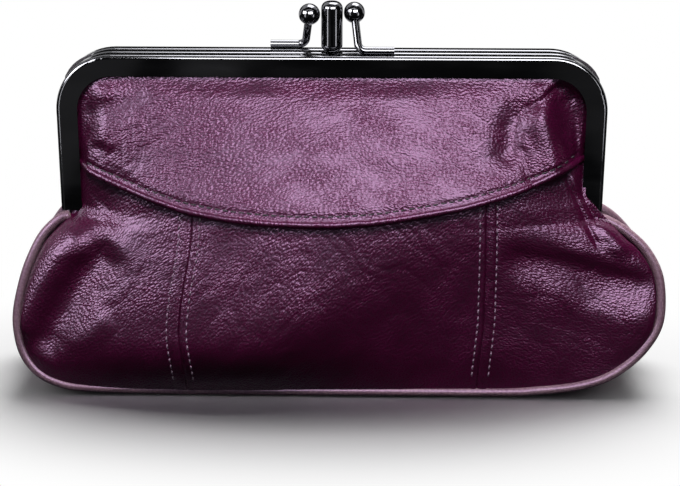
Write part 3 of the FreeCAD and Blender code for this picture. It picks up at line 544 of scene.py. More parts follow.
def stitch_mesh(places, along, out, length, radius):
    """Thread: at every place one stitch, a six-sided spindle of five rings that rises
    in its middle and dips at both ends."""
    ring_at = np.array([-0.5, -0.4, 0.0, 0.4, 0.5]) * length
    ring_size = np.array([0.35, 0.9, 1.0, 0.9, 0.35]) * radius
    ring_lift = np.array([-0.8, -0.15, 0.45, -0.15, -0.8]) * radius
    turn = np.arange(6) * math.pi / 3
    side = np.cross(along, out)
    one = (along[:, None, None] * ring_at[None, :, None, None]
           + out[:, None, None] * (ring_lift[None, :, None, None]
                                   + (ring_size[:, None] * np.sin(turn))[None, :, :, None])
           + side[:, None, None] * (ring_size[:, None] * np.cos(turn))[None, :, :, None])
    points = (places[:, None, None] + one).reshape(-1, 3)
    body = quads(5, 6, around=True)
    starts = np.arange(len(places))[:, None, None] * 30
    faces = (body[None] + starts).reshape(-1, 4)
    ends = np.stack([np.arange(6)[::-1], 24 + np.arange(6)])
    flat = np.tile(np.stack(np.meshgrid(turn * radius, ring_at), axis=2)[None], (len(places), 1, 1, 1)) * MM
    return points, [faces, (ends[None] + starts).reshape(-1, 6)], flat


def stitch_row(depth, line, pitch):
    """Places, directions and outward normals of stitches that follow a line (x, z) on a
    surface y = depth(x, z), a pitch apart."""
    length = np.linalg.norm(np.diff(line, axis=0), axis=1).sum()
    count = int(length / pitch)
    x, z = smooth_line(line, count + 2)[1:-1].T
    step = 0.35
    slope_x = (depth(x + step, z) - depth(x - step, z)) / (2 * step)
    slope_z = (depth(x, z + step) - depth(x, z - step)) / (2 * step)
    places = np.stack([x, depth(x, z), z], axis=1)
    out = np.stack([slope_x, -np.ones_like(x), slope_z], axis=1)
    out /= np.linalg.norm(out, axis=1, keepdims=True)
    along = np.gradient(places, axis=0)
    along -= (along * out).sum(1, keepdims=True) * out
    along /= np.linalg.norm(along, axis=1, keepdims=True)
    return places, along, out


# Materials

def srgb(code):
    """Linear red, green, blue, alpha of an sRGB hex colour."""
    c = np.array([int(code[i:i + 2], 16) for i in (1, 3, 5)]) / 255
    return (*np.where(c <= 0.04045, c / 12.92, ((c + 0.055) / 1.055) ** 2.4).tolist(), 1.0)


def add(tree, kind, inputs=None, **settings):
    """Adds a node with its settings; each input is a value or the socket it links to."""
    made = tree.nodes.new(kind)
    for key, value in settings.items():
        setattr(made, key, value)
    for key, value in (inputs or {}).items():
        if isinstance(value, bpy.types.NodeSocket):
            tree.links.new(value, made.inputs[key])
        else:
            made.inputs[key].default_value = value
    return made


def new_material(name):
    """An empty node material and its tree."""
    material = bpy.data.materials.new(name)
    material.use_nodes = True
    material.node_tree.nodes.clear()
    return material, material.node_tree


def shown(material, shader):
    """The material, with that shader on its surface."""
    add(material.node_tree, "ShaderNodeOutputMaterial", {"Surface": shader.outputs[0]})
    return material


def ramp(tree, value, low, high, start=0.0, stop=1.0):
    """Colour between two linear colours as value goes from start to stop."""
    made = add(tree, "ShaderNodeValToRGB", {"Fac": value})
    made.color_ramp.elements[0].position, made.color_ramp.elements[0].color = start, low
    made.color_ramp.elements[1].position, made.color_ramp.elements[1].color = stop, high
    return made.outputs["Color"]


def plum_leather(name, low, high, grain, lift, rough):
    """Sheep nappa, drum dyed plum and lightly finished: small uneven pebbles, longer the
    way the leather is drawn, semi gloss on their tops and duller between them, so that
    glints break up where it shines."""
    material, tree = new_material(name)
    place = add(tree, "ShaderNodeUVMap", uv_map="grain").outputs["UV"]
    drift = add(tree, "ShaderNodeTexNoise", {"Vector": place, "Scale": 0.8 / grain, "Detail": 1.0})
    bent = add(tree, "ShaderNodeVectorMath", {0: drift.outputs["Color"], 1: (grain * 0.7,) * 3},
               operation="MULTIPLY")
    moved = add(tree, "ShaderNodeVectorMath", {0: place, 1: bent.outputs[0]}, operation="ADD").outputs[0]
    cell = add(tree, "ShaderNodeTexVoronoi", {"Vector": moved, "Scale": 1 / grain, "Smoothness": 0.2},
               feature="SMOOTH_F1", voronoi_dimensions="2D")
    pebble = add(tree, "ShaderNodeMapRange", {"Value": cell.outputs["Distance"], "From Max": 0.75,
                                              "To Min": 1.0, "To Max": 0.0})
    swell = add(tree, "ShaderNodeTexNoise", {"Vector": place, "Scale": 0.34 / grain, "Detail": 2.0})
    cloud = add(tree, "ShaderNodeTexNoise", {"Vector": place, "Scale": 0.07 / grain, "Detail": 3.0})
    worked = add(tree, "ShaderNodeMapRange", {"Value": cloud.outputs["Fac"], "From Min": 0.35,
                                              "From Max": 0.65, "To Min": 0.5, "To Max": 1.2})
    height = add(tree, "ShaderNodeMath", {0: pebble.outputs[0], 1: worked.outputs[0]}, operation="MULTIPLY")
    height = add(tree, "ShaderNodeMath", {0: swell.outputs["Fac"], 1: 0.12, 2: height.outputs[0]},
                 operation="MULTIPLY_ADD")
    # painted shade: the colour goes to the deep colour between the pebbles, while the cloud noise adds the
    # leather's own uneven tone
    tone = add(tree, "ShaderNodeMath", {0: pebble.outputs[0], 1: 0.4, 2: cloud.outputs["Fac"]},
               operation="MULTIPLY_ADD")
    colour = ramp(tree, tone.outputs[0], low, high, 0.35, 1.0)
    gloss = add(tree, "ShaderNodeMapRange", {"Value": pebble.outputs[0], "To Min": rough + 0.06,
                                             "To Max": rough})
    bump = add(tree, "ShaderNodeBump", {"Height": height.outputs[0], "Strength": 1.0, "Distance": lift})
    skin = add(tree, "ShaderNodeBsdfPrincipled", {
        "Base Color": colour, "Roughness": gloss.outputs[0], "Normal": bump.outputs[0],
        "Specular IOR Level": 0.5, "IOR": 1.5, "Specular Tint": srgb("#f6d0ff")})
    return shown(material, skin)


def black_nickel(name, colour):
    """Black nickel plate on polished steel: a dark mirror with sharp reflections and
    faint wiping marks that only change how sharp they are."""
    material, tree = new_material(name)
    place = add(tree, "ShaderNodeTexCoord").outputs["Object"]
    wiped = add(tree, "ShaderNodeMapping", {"Vector": place, "Scale": (40.0, 120.0, 160.0)})
    marks = add(tree, "ShaderNodeTexNoise", {"Vector": wiped.outputs[0], "Scale": 1.0, "Detail": 5.0})
    rough = add(tree, "ShaderNodeMapRange", {"Value": marks.outputs["Fac"], "From Min": 0.3, "From Max": 0.7,
                                             "To Min": 0.07, "To Max": 0.15})
    shade = ramp(tree, marks.outputs["Fac"], tuple(0.85 * c for c in colour[:3]) + (1.0,), colour, 0.3, 0.7)
    plate = add(tree, "ShaderNodeBsdfPrincipled", {
        "Base Color": shade, "Metallic": 1.0, "Roughness": rough.outputs[0]})
    return shown(material, plate)


def woven_cloth(name, low, high, pitch):
    """Plain woven cotton: warp and weft cross over and under, so it shows a fine grid
    of rounded threads. The threads are drawn at twice their width so that they show."""
    material, tree = new_material(name)
    place = add(tree, "ShaderNodeUVMap", uv_map="flat").outputs["UV"]
    wave_scale = 1.0 / (20.0 * pitch) * 2 * math.pi
    warp, weft = (add(tree, "ShaderNodeTexWave", {"Vector": place, "Scale": wave_scale, "Distortion": 0.4},
                      bands_direction=way) for way in "XY")
    weave = add(tree, "ShaderNodeMath", {0: warp.outputs["Fac"], 1: weft.outputs["Fac"]}, operation="MAXIMUM")
    # painted shade: the colour goes to the deep one between the crossing threads
    colour = ramp(tree, weave.outputs[0], low, high, 0.3, 1.0)
    bump = add(tree, "ShaderNodeBump", {"Height": weave.outputs[0], "Strength": 0.6, "Distance": pitch * 0.4})
    cloth = add(tree, "ShaderNodeBsdfPrincipled", {
        "Base Color": colour, "Normal": bump.outputs[0], "Roughness": 0.85, "Sheen Weight": 0.25})
    return shown(material, cloth)


def twisted_strand(name, low, high, pitch, coordinates):
    """Twisted thread, cotton or paper: slanting plies with a dark line of painted shade between them."""
    material, tree = new_material(name)
    if coordinates == "flat":
        place = add(tree, "ShaderNodeUVMap", uv_map="flat").outputs["UV"]
    else:
        place = add(tree, "ShaderNodeTexCoord").outputs[coordinates]
    wave_scale = math.pi / (10.0 * pitch)
    plies = add(tree, "ShaderNodeTexWave", {"Vector": place, "Scale": wave_scale, "Distortion": 0.6},
                bands_direction="DIAGONAL")
    # painted shade: the colour goes to the deep one in the line between the plies
    colour = ramp(tree, plies.outputs["Fac"], low, high, 0.1, 0.7)
    bump = add(tree, "ShaderNodeBump", {"Height": plies.outputs["Fac"], "Strength": 0.5,
                                        "Distance": pitch * 0.3})
    strand = add(tree, "ShaderNodeBsdfPrincipled", {
        "Base Color": colour, "Normal": bump.outputs[0], "Roughness": 0.6})
    return shown(material, strand)


def seen_rays(tree):
    """1 for rays from the eye, from a reflection or through glass, else 0."""
    ray = add(tree, "ShaderNodeLightPath").outputs
    seen = add(tree, "ShaderNodeMath", {0: ray["Is Camera Ray"], 1: ray["Is Glossy Ray"]}, operation="ADD")
    seen = add(tree, "ShaderNodeMath", {0: seen.outputs[0], 1: ray["Is Transmission Ray"]}, operation="ADD",
               use_clamp=True)
    return seen.outputs[0]


def studio_paper(name, white, bounce):
    """Matt studio paper: white to the eye and in reflections, while less of its light
    falls back on the object. Away from the object it goes over to plain white."""
    material, tree = new_material(name)
    seen = seen_rays(tree)
    paper = add(tree, "ShaderNodeBsdfDiffuse", {"Color": ramp(tree, seen, bounce, white)})
    glow = add(tree, "ShaderNodeEmission", {"Color": srgb("#ffffff"), "Strength": 1.0})
    place = add(tree, "ShaderNodeTexCoord").outputs["Object"]
    oval = add(tree, "ShaderNodeVectorMath", {0: place, 1: (1 / 0.40, 1 / 0.20, 0.0)}, operation="MULTIPLY")
    far = add(tree, "ShaderNodeVectorMath", {0: oval.outputs[0]}, operation="LENGTH")
    away = add(tree, "ShaderNodeMapRange", {"Value": far.outputs["Value"], "From Min": 0.20,
                                            "From Max": 0.44}, interpolation_type="SMOOTHSTEP")
    share = add(tree, "ShaderNodeMath", {0: away.outputs[0], 1: seen}, operation="MULTIPLY")
    both = add(tree, "ShaderNodeMixShader", {0: share.outputs[0], 1: paper.outputs[0], 2: glow.outputs[0]})
    return shown(material, both)


def dim_wall(name):
    """Dark studio wall as gloss and metal show it: a fixed dim glow of its own, which stands in for the unlit
    studio in reflections.
    """
    material, tree = new_material(name)
    wall = add(tree, "ShaderNodeEmission", {"Color": srgb("#1c1c1d"), "Strength": 1.0})
    return shown(material, wall)


LEATHER = "nappa leather, drum dyed plum"
SHEEN_PIPING_LEATHER = "nappa leather, stretched over cord"
METAL = "black nickel plate, polished"
CLOTH = "cotton lining, plain woven"
THREAD = "polyester thread, twisted"
YOKE_THREAD = "polyester thread, twisted, dark"
COTTON = "cotton cord, twisted"
PAPER = "kraft paper cord, twisted"
FINISHES = {}


def finish(name):
    """The finished material of that name, made once from the colours and sizes."""
    if name in FINISHES:
        return FINISHES[name]
    colours, grain = bpy.context.scene.purse_colours, bpy.context.scene.purse_sizes.grain_width

    def pair(key):
        return getattr(colours, f"{key}_deep")[:], getattr(colours, f"{key}_lit")[:]

    makers = {
        LEATHER: lambda: plum_leather(name, *pair("leather"), grain, lift=0.00010, rough=0.26),
        # the piping gets the plum leather made much lighter, as painted sheen
        SHEEN_PIPING_LEATHER: lambda: plum_leather(name, *pair("piping"), grain * 1.5, lift=0.00003, rough=0.33),
        METAL: lambda: black_nickel(name, colours.metal[:]),
        CLOTH: lambda: woven_cloth(name, *pair("cloth"), pitch=0.0009),
        # seam and yoke thread are one thread in two copies: lightened as painted sheen and darkened as painted
        # shade
        THREAD: lambda: twisted_strand(name, *pair("thread"), pitch=0.0006, coordinates="flat"),
        YOKE_THREAD: lambda: twisted_strand(name, *pair("yoke_thread"), pitch=0.0006, coordinates="flat"),
        COTTON: lambda: twisted_strand(name, *pair("cotton"), pitch=0.0012, coordinates="flat"),
        PAPER: lambda: twisted_strand(name, *pair("paper"), pitch=0.0012, coordinates="Object"),
    }
    FINISHES[name] = makers[name]()
    return FINISHES[name]


# Properties

def length(name, description, value):
    """A length property in metres."""
    return bpy.props.FloatProperty(name=name, description=description, default=value, unit="LENGTH",
                                   precision=5)


def colour(name, description, code):
    """A colour property from an sRGB hex value."""
    return bpy.props.FloatVectorProperty(name=name, description=description, default=srgb(code), size=4,
                                         subtype="COLOR", min=0.0, max=1.0)


class PurseSizes(bpy.types.PropertyGroup):
    leather_thick: length("Leather", "Thickness of the leather", 0.0010)
    yoke_lap: length("Yoke lap", "How far the yoke's edge stands proud of the panels", 0.0019)
    yoke_row: length("Yoke row", "Distance of the yoke's stitch row from its edge", 0.0018)
    piping_radius: length("Piping", "Radius of the piping", 0.00155)
    core_radius: length("Cord", "Radius of the cord inside the piping", 0.0007)
    stitch_pitch: length("Stitch pitch", "Distance from stitch to stitch", 0.0024)
    stitch_length: length("Stitch", "Length of thread that shows in a stitch", 0.0019)
    thread_radius: length("Thread", "Radius of the thread", 0.00027)
    grain_width: length("Grain", "Width of a pebble of the leather's grain", 0.00064)
    cloth_thick: length("Cloth", "Thickness of lining and divider", 0.0004)
    fold_strength: bpy.props.FloatProperty(
        name="Folds", description="Depth of the folds, 1 for worn in leather", default=1.0, subtype="FACTOR")


class PurseColours(bpy.types.PropertyGroup):
    # leather colours: the deep one paints shade between the pebbles, the lit one is for their tops
    leather_deep: colour("Leather, deep", "Leather in its creases", "#46062c")
    leather_lit: colour("Leather", "Leather on its pebbles", "#660a42")
    # piping colours: the same plum leather made much lighter to paint the sheen the piping catches; the deep one
    # also paints shade in its creases
    piping_deep: colour("Piping, deep", "Piping leather in its creases", "#8a6276")
    piping_lit: colour("Piping", "Piping leather, stretched", "#b4929e")
    # seam thread: lightened to paint its sheen; the deep one paints shade between the plies
    thread_deep: colour("Thread, deep", "Thread between its plies", "#7a4874")
    thread_lit: colour("Thread", "Thread on its plies", "#c89cc0")
    # yoke thread: the same thread darkened to paint the shade its row lies in
    yoke_thread_deep: colour("Yoke thread, deep", "Yoke thread between its plies", "#1c0716")
    yoke_thread_lit: colour("Yoke thread", "Yoke thread on its plies", "#3c1434")
    metal: colour("Plate", "Black nickel plate", "#6a6a6e")
    # lining colours: the deep one paints shade between the threads
    cloth_deep: colour("Lining, deep", "Lining between its threads", "#17101a")
    cloth_lit: colour("Lining", "Lining on its threads", "#3a2a3c")
    # cord colours: the deep one paints shade between the plies or turns
    cotton_deep: colour("Cord, deep", "Cotton cord between its plies", "#a89f8e")
    cotton_lit: colour("Cord", "Cotton cord on its plies", "#ded7c8")
    paper_deep: colour("Paper, deep", "Paper cord between its turns", "#8f8067")
    paper_lit: colour("Paper", "Paper cord on its turns", "#cbbb9c")
    floor_white: colour("Floor", "Studio paper as it is seen", "#ffffff")
    floor_bounce: colour("Floor bounce", "Studio paper as it lights the object", "#2a282a")


# Operators

def dress(piece, side, slot, *nodes):
    """Hides the parts of the frame that a soft piece replaces and bakes its place into its
    mesh. The side and the slot are not used."""
    if nodes:
        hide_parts(*nodes)
    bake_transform(piece)


def variation(side):
    """Noise seed and fold depth of a side."""
    strength = bpy.context.scene.purse_sizes.fold_strength
    return (FRONT_SEED, strength) if side == "front" else (BACK_SEED, BACK_FOLDS * strength)


def panel_top(start, stop, count):
    """The top of a panel between two places, hidden under the yoke."""
    x = np.linspace(start[0], stop[0], count)
    z = yoke_edge_at(x) + UNDER_YOKE
    share = np.linspace(0, 1, count)
    z += (1 - share) * (start[1] - z[0]) + share * (stop[1] - z[-1])
    return np.stack([x, z], axis=1)


def panel_plan(left, right, hem, count):
    """Plan (x, z) of a panel: a patch between its sides, its hem and its top."""
    share = np.linspace(0, 1, count)[:, None]
    bottom = smooth_line(hem, count)
    bottom = bottom + (1 - share) * (left[0] - bottom[0]) + share * (right[0] - bottom[-1])
    return patch(bottom, panel_top(left[-1], right[-1], count), left, right)


def panel_seam(points, rows):
    """A panel seam (x, z) from the hem up under the yoke."""
    line = smooth_line(points[1:], 80)[::-1]
    z = np.linspace(line[0, 1], yoke_edge_at(line[-1, 0]) + UNDER_YOKE, rows)
    return np.stack([seam_line(points, z), z], axis=1)


def panel_plans(rows=110):
    """Plans (x, z) of the left, centre and right panel between the seam's outline, the
    panel seams and a line hidden under the yoke."""
    def inset(points):
        away = np.array((2.0, 28.0)) - points
        return points + PANEL_INSET * away / np.linalg.norm(away, axis=1, keepdims=True)

    def foot(points):
        near = OUTLINE[LOWEST - 150:LOWEST + 150, 0] - points[-1][0]
        return LOWEST - 150 + int(np.abs(near).argmin())

    def outer_side(places, x):
        end = (x, yoke_edge_at(x) + UNDER_YOKE)
        return smooth_line(np.vstack([*places, end]), rows)

    foot_left, foot_right = foot(LEFT_SEAM), foot(RIGHT_SEAM)
    corner_left = int(np.abs(OUTLINE[:LOWEST, 1] - 10.5).argmin())
    corner_right = LOWEST + int(np.abs(OUTLINE[LOWEST:, 1] - 12.0).argmin())
    overlap = np.array((PANEL_OVERLAP, 0.0))
    left_seam, right_seam = panel_seam(LEFT_SEAM, rows), panel_seam(RIGHT_SEAM, rows)
    far_left = outer_side([inset(OUTLINE[corner_left:14:-8]), (-79.6, 55.6), (-78.9, 58.2),
                           (-79.2, 61.5)], -79.2)
    far_right = outer_side([inset(OUTLINE[corner_right:-18:8]), (83.4, 55.6), (80.2, 58.9), (77.2, 62.4),
                            (77.4, 66.0)], 79.0)
    return {
        "left": panel_plan(far_left, left_seam + overlap, inset(OUTLINE[corner_left:foot_left:6]), 86),
        "centre": panel_plan(left_seam - overlap, right_seam + overlap,
                             inset(OUTLINE[foot_left:foot_right:6]), 150),
        "right": panel_plan(right_seam - overlap, far_right, inset(OUTLINE[foot_right:corner_right:6]), 90),
    }


class PURSE_OT_panels(bpy.types.Operator):
    """Left, centre and right leather panel of the front and of the back"""
    bl_idname = "purse.panels"
    bl_label = "Leather panels"

    def execute(self, context):
        thick = context.scene.purse_sizes.leather_thick * TO_MM
        plans = panel_plans()
        for side in SIDES:
            seed, strength = variation(side)
            for panel, plan in plans.items():
                x, z = plan[..., 0], plan[..., 1]
                grid = np.stack([x, front_depth(x, z, seed, strength), z], axis=2)
                name = f"{side}_{panel}_panel"
                piece = leather_sheet(f"{name}_leather", grid, thick, finish(LEATHER), side,
                                      grain_map(flat_lengths(grid), GRAIN_TURN[panel]))
                dress(piece, side, "plum_leather", name)
        return {"FINISHED"}


class PURSE_OT_yokes(bpy.types.Operator):
    """Yoke of the front and of the back, with its edge turned under"""
    bl_idname = "purse.yokes"
    bl_label = "Leather yokes"

    def execute(self, context):
        sizes = context.scene.purse_sizes
        columns, rows, curl_rows, hem_rows = 260, 76, 7, 8
        half, corner = 79.2, 13.5
        top = RAIL_HIGH[2] - 3.4
        x = np.linspace(-half, half, columns)
        over = np.clip(np.abs(x) - (half - corner), 0, corner)
        z_top = top - corner + np.sqrt(corner ** 2 - over ** 2 + 1e-9)
        z_low = yoke_edge_at(x)
        v = np.linspace(0, 1, rows)[:, None]
        plan_z = z_low + (z_top - z_low) * v
        plan_x = np.broadcast_to(x, plan_z.shape)
        thick = 0.5 * sizes.yoke_lap * TO_MM
        for side in SIDES:
            seed, strength = variation(side)
            face = np.stack([plan_x, yoke_depth(plan_x, plan_z, seed, strength), plan_z], axis=2)
            normal = grid_normals(face)
            edge, out = face[0], normal[0]
            down = face[0] - face[1]
            down /= np.linalg.norm(down, axis=1, keepdims=True)
            turn = np.linspace(math.pi, 0, curl_rows, endpoint=False)[:, None, None]
            middle = edge - thick * out
            curl = middle + thick * (np.sin(turn) * down - np.cos(math.pi - turn) * -out)
            hem_rise = np.linspace(6.0, 0.4, hem_rows)[:, None]
            hem_plan_z = z_low + hem_rise
            hem_x = np.broadcast_to(x, hem_plan_z.shape)
            under = np.stack([hem_x, yoke_depth(hem_x, hem_plan_z, seed, strength), hem_plan_z], axis=2)
            under = under - 2 * thick * grid_normals(under[::-1])[::-1]
            grid = np.vstack([under, curl, face])
            drawn = flat_lengths(grid)
            bow = np.sqrt(drawn[..., 0] ** 2 + 0.015 ** 2)
            grain = np.stack([drawn[..., 0] / 1.7, drawn[..., 1] + 0.5 * bow], axis=2)
            piece = leather_sheet(f"{side}_yoke_leather", grid, 0.8 * thick, finish(LEATHER), side, grain)
            dress(piece, side, "plum_leather", f"{side}_yoke")
        return {"FINISHED"}


def piping_path(count=320):
    """The seam of the front in space, left to right."""
    line = smooth_line(SEAM_OUTLINE, count)
    return np.stack([line[:, 0], seam_depth(line[:, 1]) + PIPING_BEHIND, line[:, 1]], axis=1)


class PURSE_OT_pipings(bpy.types.Operator):
    """Piping of both seams: leather folded round a cord, with its sewn flange"""
    bl_idname = "purse.pipings"
    bl_label = "Pipings and their cords"

    def execute(self, context):
        sizes = context.scene.purse_sizes
        radius, core = sizes.piping_radius * TO_MM, sizes.core_radius * TO_MM
        wide = np.radians(np.linspace(160, -160, 22)) + FLANGE_TURN
        narrow = np.radians(np.linspace(-174, 174, 16)) + FLANGE_TURN
        lead = np.array((math.cos(math.pi + FLANGE_TURN), math.sin(math.pi + FLANGE_TURN)))
        side = np.array((lead[1], -lead[0]))
        profile = np.vstack([
            [FLANGE * lead + FLANGE_HALF * side], np.stack([np.cos(wide), np.sin(wide)], axis=1) * radius,
            [FLANGE * lead - FLANGE_HALF * side], [FLANGE * lead - CORD_GAP * side],
            np.stack([np.cos(narrow), np.sin(narrow)], axis=1) * (core + CORD_GAP),
            [FLANGE * lead + CORD_GAP * side]])
        ring = np.radians(np.arange(0, 360, 30))
        cord = np.stack([np.cos(ring), np.sin(ring)], axis=1) * core
        path = piping_path()
        normal = np.broadcast_to((0.0, -1.0, -SEAM_LEAN), path.shape)
        for side in SIDES:
            for name, section, material, slot, node in (
                    ("cover", profile, SHEEN_PIPING_LEATHER, "piping_leather", f"{side}_piping"),
                    ("cord", cord, COTTON, "cotton_core", f"{side}_piping_core")):
                points, faces, flat = carried_profile(path, normal, section)
                points = on_side(points, side)
                piece = make_piece(f"{side}_piping_{name}", points, faces, finish(material), flat)
                dress(piece, side, slot, node)
        return {"FINISHED"}


class PURSE_OT_gusset(bpy.types.Operator):
    """Gusset strip between the two seams, flat on the ground and folded in at its ends,
    which stop under the hinges, cut along its middle into a front and a back half"""
    bl_idname = "purse.gusset"
    bl_label = "Gusset strip"

    def execute(self, context):
        thick = context.scene.purse_sizes.leather_thick * TO_MM
        front = piping_path(420) + (0, 0.9, 0)
        front = front[front[:, 2] < GUSSET_TOP]
        back = on_side(front, "back")
        along, half = len(front), 30
        across = 2 * half + 1
        b = np.linspace(-1, 1, across)
        part = ((b + 1) / 2)[:, None, None]
        grid = front[None] * part + back[None] * (1 - part)
        middle = (front + back) / 2
        tangent = np.gradient(middle, axis=0)
        tangent /= np.linalg.norm(tangent, axis=1, keepdims=True)
        outward = np.stack([tangent[:, 2], 0 * tangent[:, 1], -tangent[:, 0]], axis=1)
        high = ease((middle[:, 2] - 16) / 30)
        ground = ease((9 - middle[:, 2]) / 6)
        rise = ground * middle[:, 2] * 0.92 + (1 - ground) * 0.8 * (1 - high)
        swell = (1 - np.abs(b) ** 3)[:, None] * rise[None]
        crease = (1 - np.abs(b)) ** 1.6
        creased = -crease[:, None] * (high * GUSSET_FOLD)[None]
        pleats = 0.5 * cloudy(np.linspace(0, 40, along)[None] + 0 * part[..., 0], 2.5 * b[:, None] + 7, 5)
        amount = swell + creased + pleats * (1 - np.abs(b) ** 4)[:, None] * (1 - ground)[None]
        grid = grid + amount[..., None] * outward[None]
        for side, rows in (("front", slice(half, across)), ("back", slice(0, half + 1))):
            piece = leather_sheet(f"{side}_gusset_leather", grid[rows], thick, finish(LEATHER))
            dress(piece, side, "plum_leather", "gusset_strip")
        return {"FINISHED"}


class PURSE_OT_linings(bpy.types.Operator):
    """Lining of each compartment and the divider between them"""
    bl_idname = "purse.linings"
    bl_label = "Linings and divider"

    def execute(self, context):
        thick = context.scene.purse_sizes.cloth_thick * TO_MM
        columns, rows = 150, 110
        low, high = 4.6, RAIL_HIGH[2] - 3.8
        z = np.linspace(low, high, rows)[:, None] + np.zeros(columns)
        left, right = sides_at(z)
        lower = ease((60 - z) / 14)
        left, right = left + LINING_INSET * lower + 0.3, right - LINING_INSET * lower - 0.3
        x = left + (right - left) * np.linspace(0, 1, columns)
        for side in SIDES:
            seed, strength = variation(side)
            back_off = LINING_BEHIND - 1.5 * ease((z - 80) / 18)
            y = front_depth(x, z, seed, strength, seams=False) + back_off
            grid = np.stack([x, y + 0.25 * cloudy(x / 9, z / 14, seed + 3), z], axis=2)
            piece = leather_sheet(f"{side}_lining_cloth", grid, thick, finish(CLOTH), side)
            dress(piece, side, "lining_cloth", f"{side}_lining")
        box_low, box_high = span("divider_panel")
        half = box_high[0]
        z = np.linspace(box_low[2] + 0.8, box_high[2], 90)[:, None] + np.zeros(140)
        x = np.linspace(-half, half, 140) + 0 * z
        free = ease((WINDOW_TOP - 4 - z) / 20) * ease((z - 4) / 20)
        y = -thick / 2 + free * (0.5 * cloudy(x / 30, z / 34, 71) + 0.2 * cloudy(x / 9, z / 21, 72))
        corner = 12.0
        over = np.clip(np.abs(x) - (half - corner), 0, corner)
        z = z - (corner - np.sqrt(corner ** 2 - over ** 2 + 1e-9)) * ease((z - 60) / 40)
        grid = np.stack([x, y, z], axis=2)
        piece = leather_sheet("divider_cloth", grid, thick, finish(CLOTH))
        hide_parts("divider_panel")
        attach(piece, "pouch")
        return {"FINISHED"}


class PURSE_OT_stitching(bpy.types.Operator):
    """Rows of stitches along the yoke's edge and on both sides of the panel seams"""
    bl_idname = "purse.stitching"
    bl_label = "Stitching"

    def execute(self, context):
        sizes = context.scene.purse_sizes
        pitch, size = sizes.stitch_pitch * TO_MM, sizes.stitch_length * TO_MM
        radius = sizes.thread_radius * TO_MM
        for side in SIDES:
            seed, strength = variation(side)

            def on_yoke(x, z):
                return yoke_depth(x, z, seed, strength)

            def on_panel(x, z):
                return front_depth(x, z, seed, strength)

            x = np.linspace(-YOKE_ROW_HALF, YOKE_ROW_HALF, 120)
            line = np.stack([x, yoke_edge_at(x) + sizes.yoke_row * TO_MM], axis=1)
            groups = {"yoke": [stitch_row(on_yoke, line, pitch)]}
            for panel, points, rows in (("left", LEFT_SEAM, LEFT_ROWS), ("right", RIGHT_SEAM, RIGHT_ROWS)):
                groups[panel] = []
                for row in rows:
                    z = np.linspace(SEAM_ROW_LOW, yoke_edge_at(seam_line(points, 56.0)) + 1.5, 60)
                    line = np.stack([seam_line(points, z) + row, z], axis=1)
                    groups[panel].append(stitch_row(on_panel, line, pitch))
            for panel, found in groups.items():
                places, along, out = (np.vstack(part) for part in zip(*found))
                points, faces, flat = stitch_mesh(places, along, out, size, radius)
                place = "yoke" if panel == "yoke" else f"{panel}_seam"
                # the yoke row gets the thread darkened as painted shade, the seam rows the thread lightened as
                # painted sheen
                thread = finish(YOKE_THREAD if panel == "yoke" else THREAD)
                piece = make_piece(f"{side}_{place}_thread", on_side(points, side), faces, thread, flat)
                dress(piece, side, "plum_leather")
        return {"FINISHED"}


class PURSE_OT_metal(bpy.types.Operator):
    """Plating of the rails, rivets and clasp, and the paper cord packed in the rails"""
    bl_idname = "purse.metal"
    bl_label = "Frame, clasp and packing"

    def execute(self, context):
        for row in frame["record"]["subparts"]:
            wanted = {"black_nickel": METAL, "packing_paper": PAPER}.get(row["material_slot"])
            if wanted:
                mesh = NODES[row["node"]].data
                mesh.materials.clear()
                mesh.materials.append(finish(wanted))
        return {"FINISHED"}


def lamp(name, place, aim, size, power, linked=(), state="INCLUDE"):
    """A soft rectangular lamp at place (mm) that shines on aim (mm), and where objects
    are linked, only on them or on all others."""
    data = bpy.data.lights.new(name, "AREA")
    data.shape, data.size, data.size_y = "RECTANGLE", size[0] * MM, size[1] * MM
    data.energy = power
    made = bpy.data.objects.new(name, data)
    bpy.context.scene.collection.objects.link(made)
    toward = Vector(aim) - Vector(place)
    made.location = Vector(place) * MM
    made.rotation_euler = toward.to_track_quat("-Z", "Y").to_euler()
    if linked:
        group = bpy.data.collections.new(f"{name}_links")
        for each in linked:
            group.objects.link(each)
        made.light_linking.receiver_collection = group
        for each in group.collection_objects:
            each.light_linking.link_state = state
    return made


def stage_piece(name, corners, faces, material):
    """A plain piece of the stage from corners in millimetres."""
    mesh = bpy.data.meshes.new(name)
    mesh.from_pydata((np.array(corners, float) * MM).tolist(), [], faces)
    mesh.materials.append(material)
    made = bpy.data.objects.new(name, mesh)
    bpy.context.scene.collection.objects.link(made)
    return made


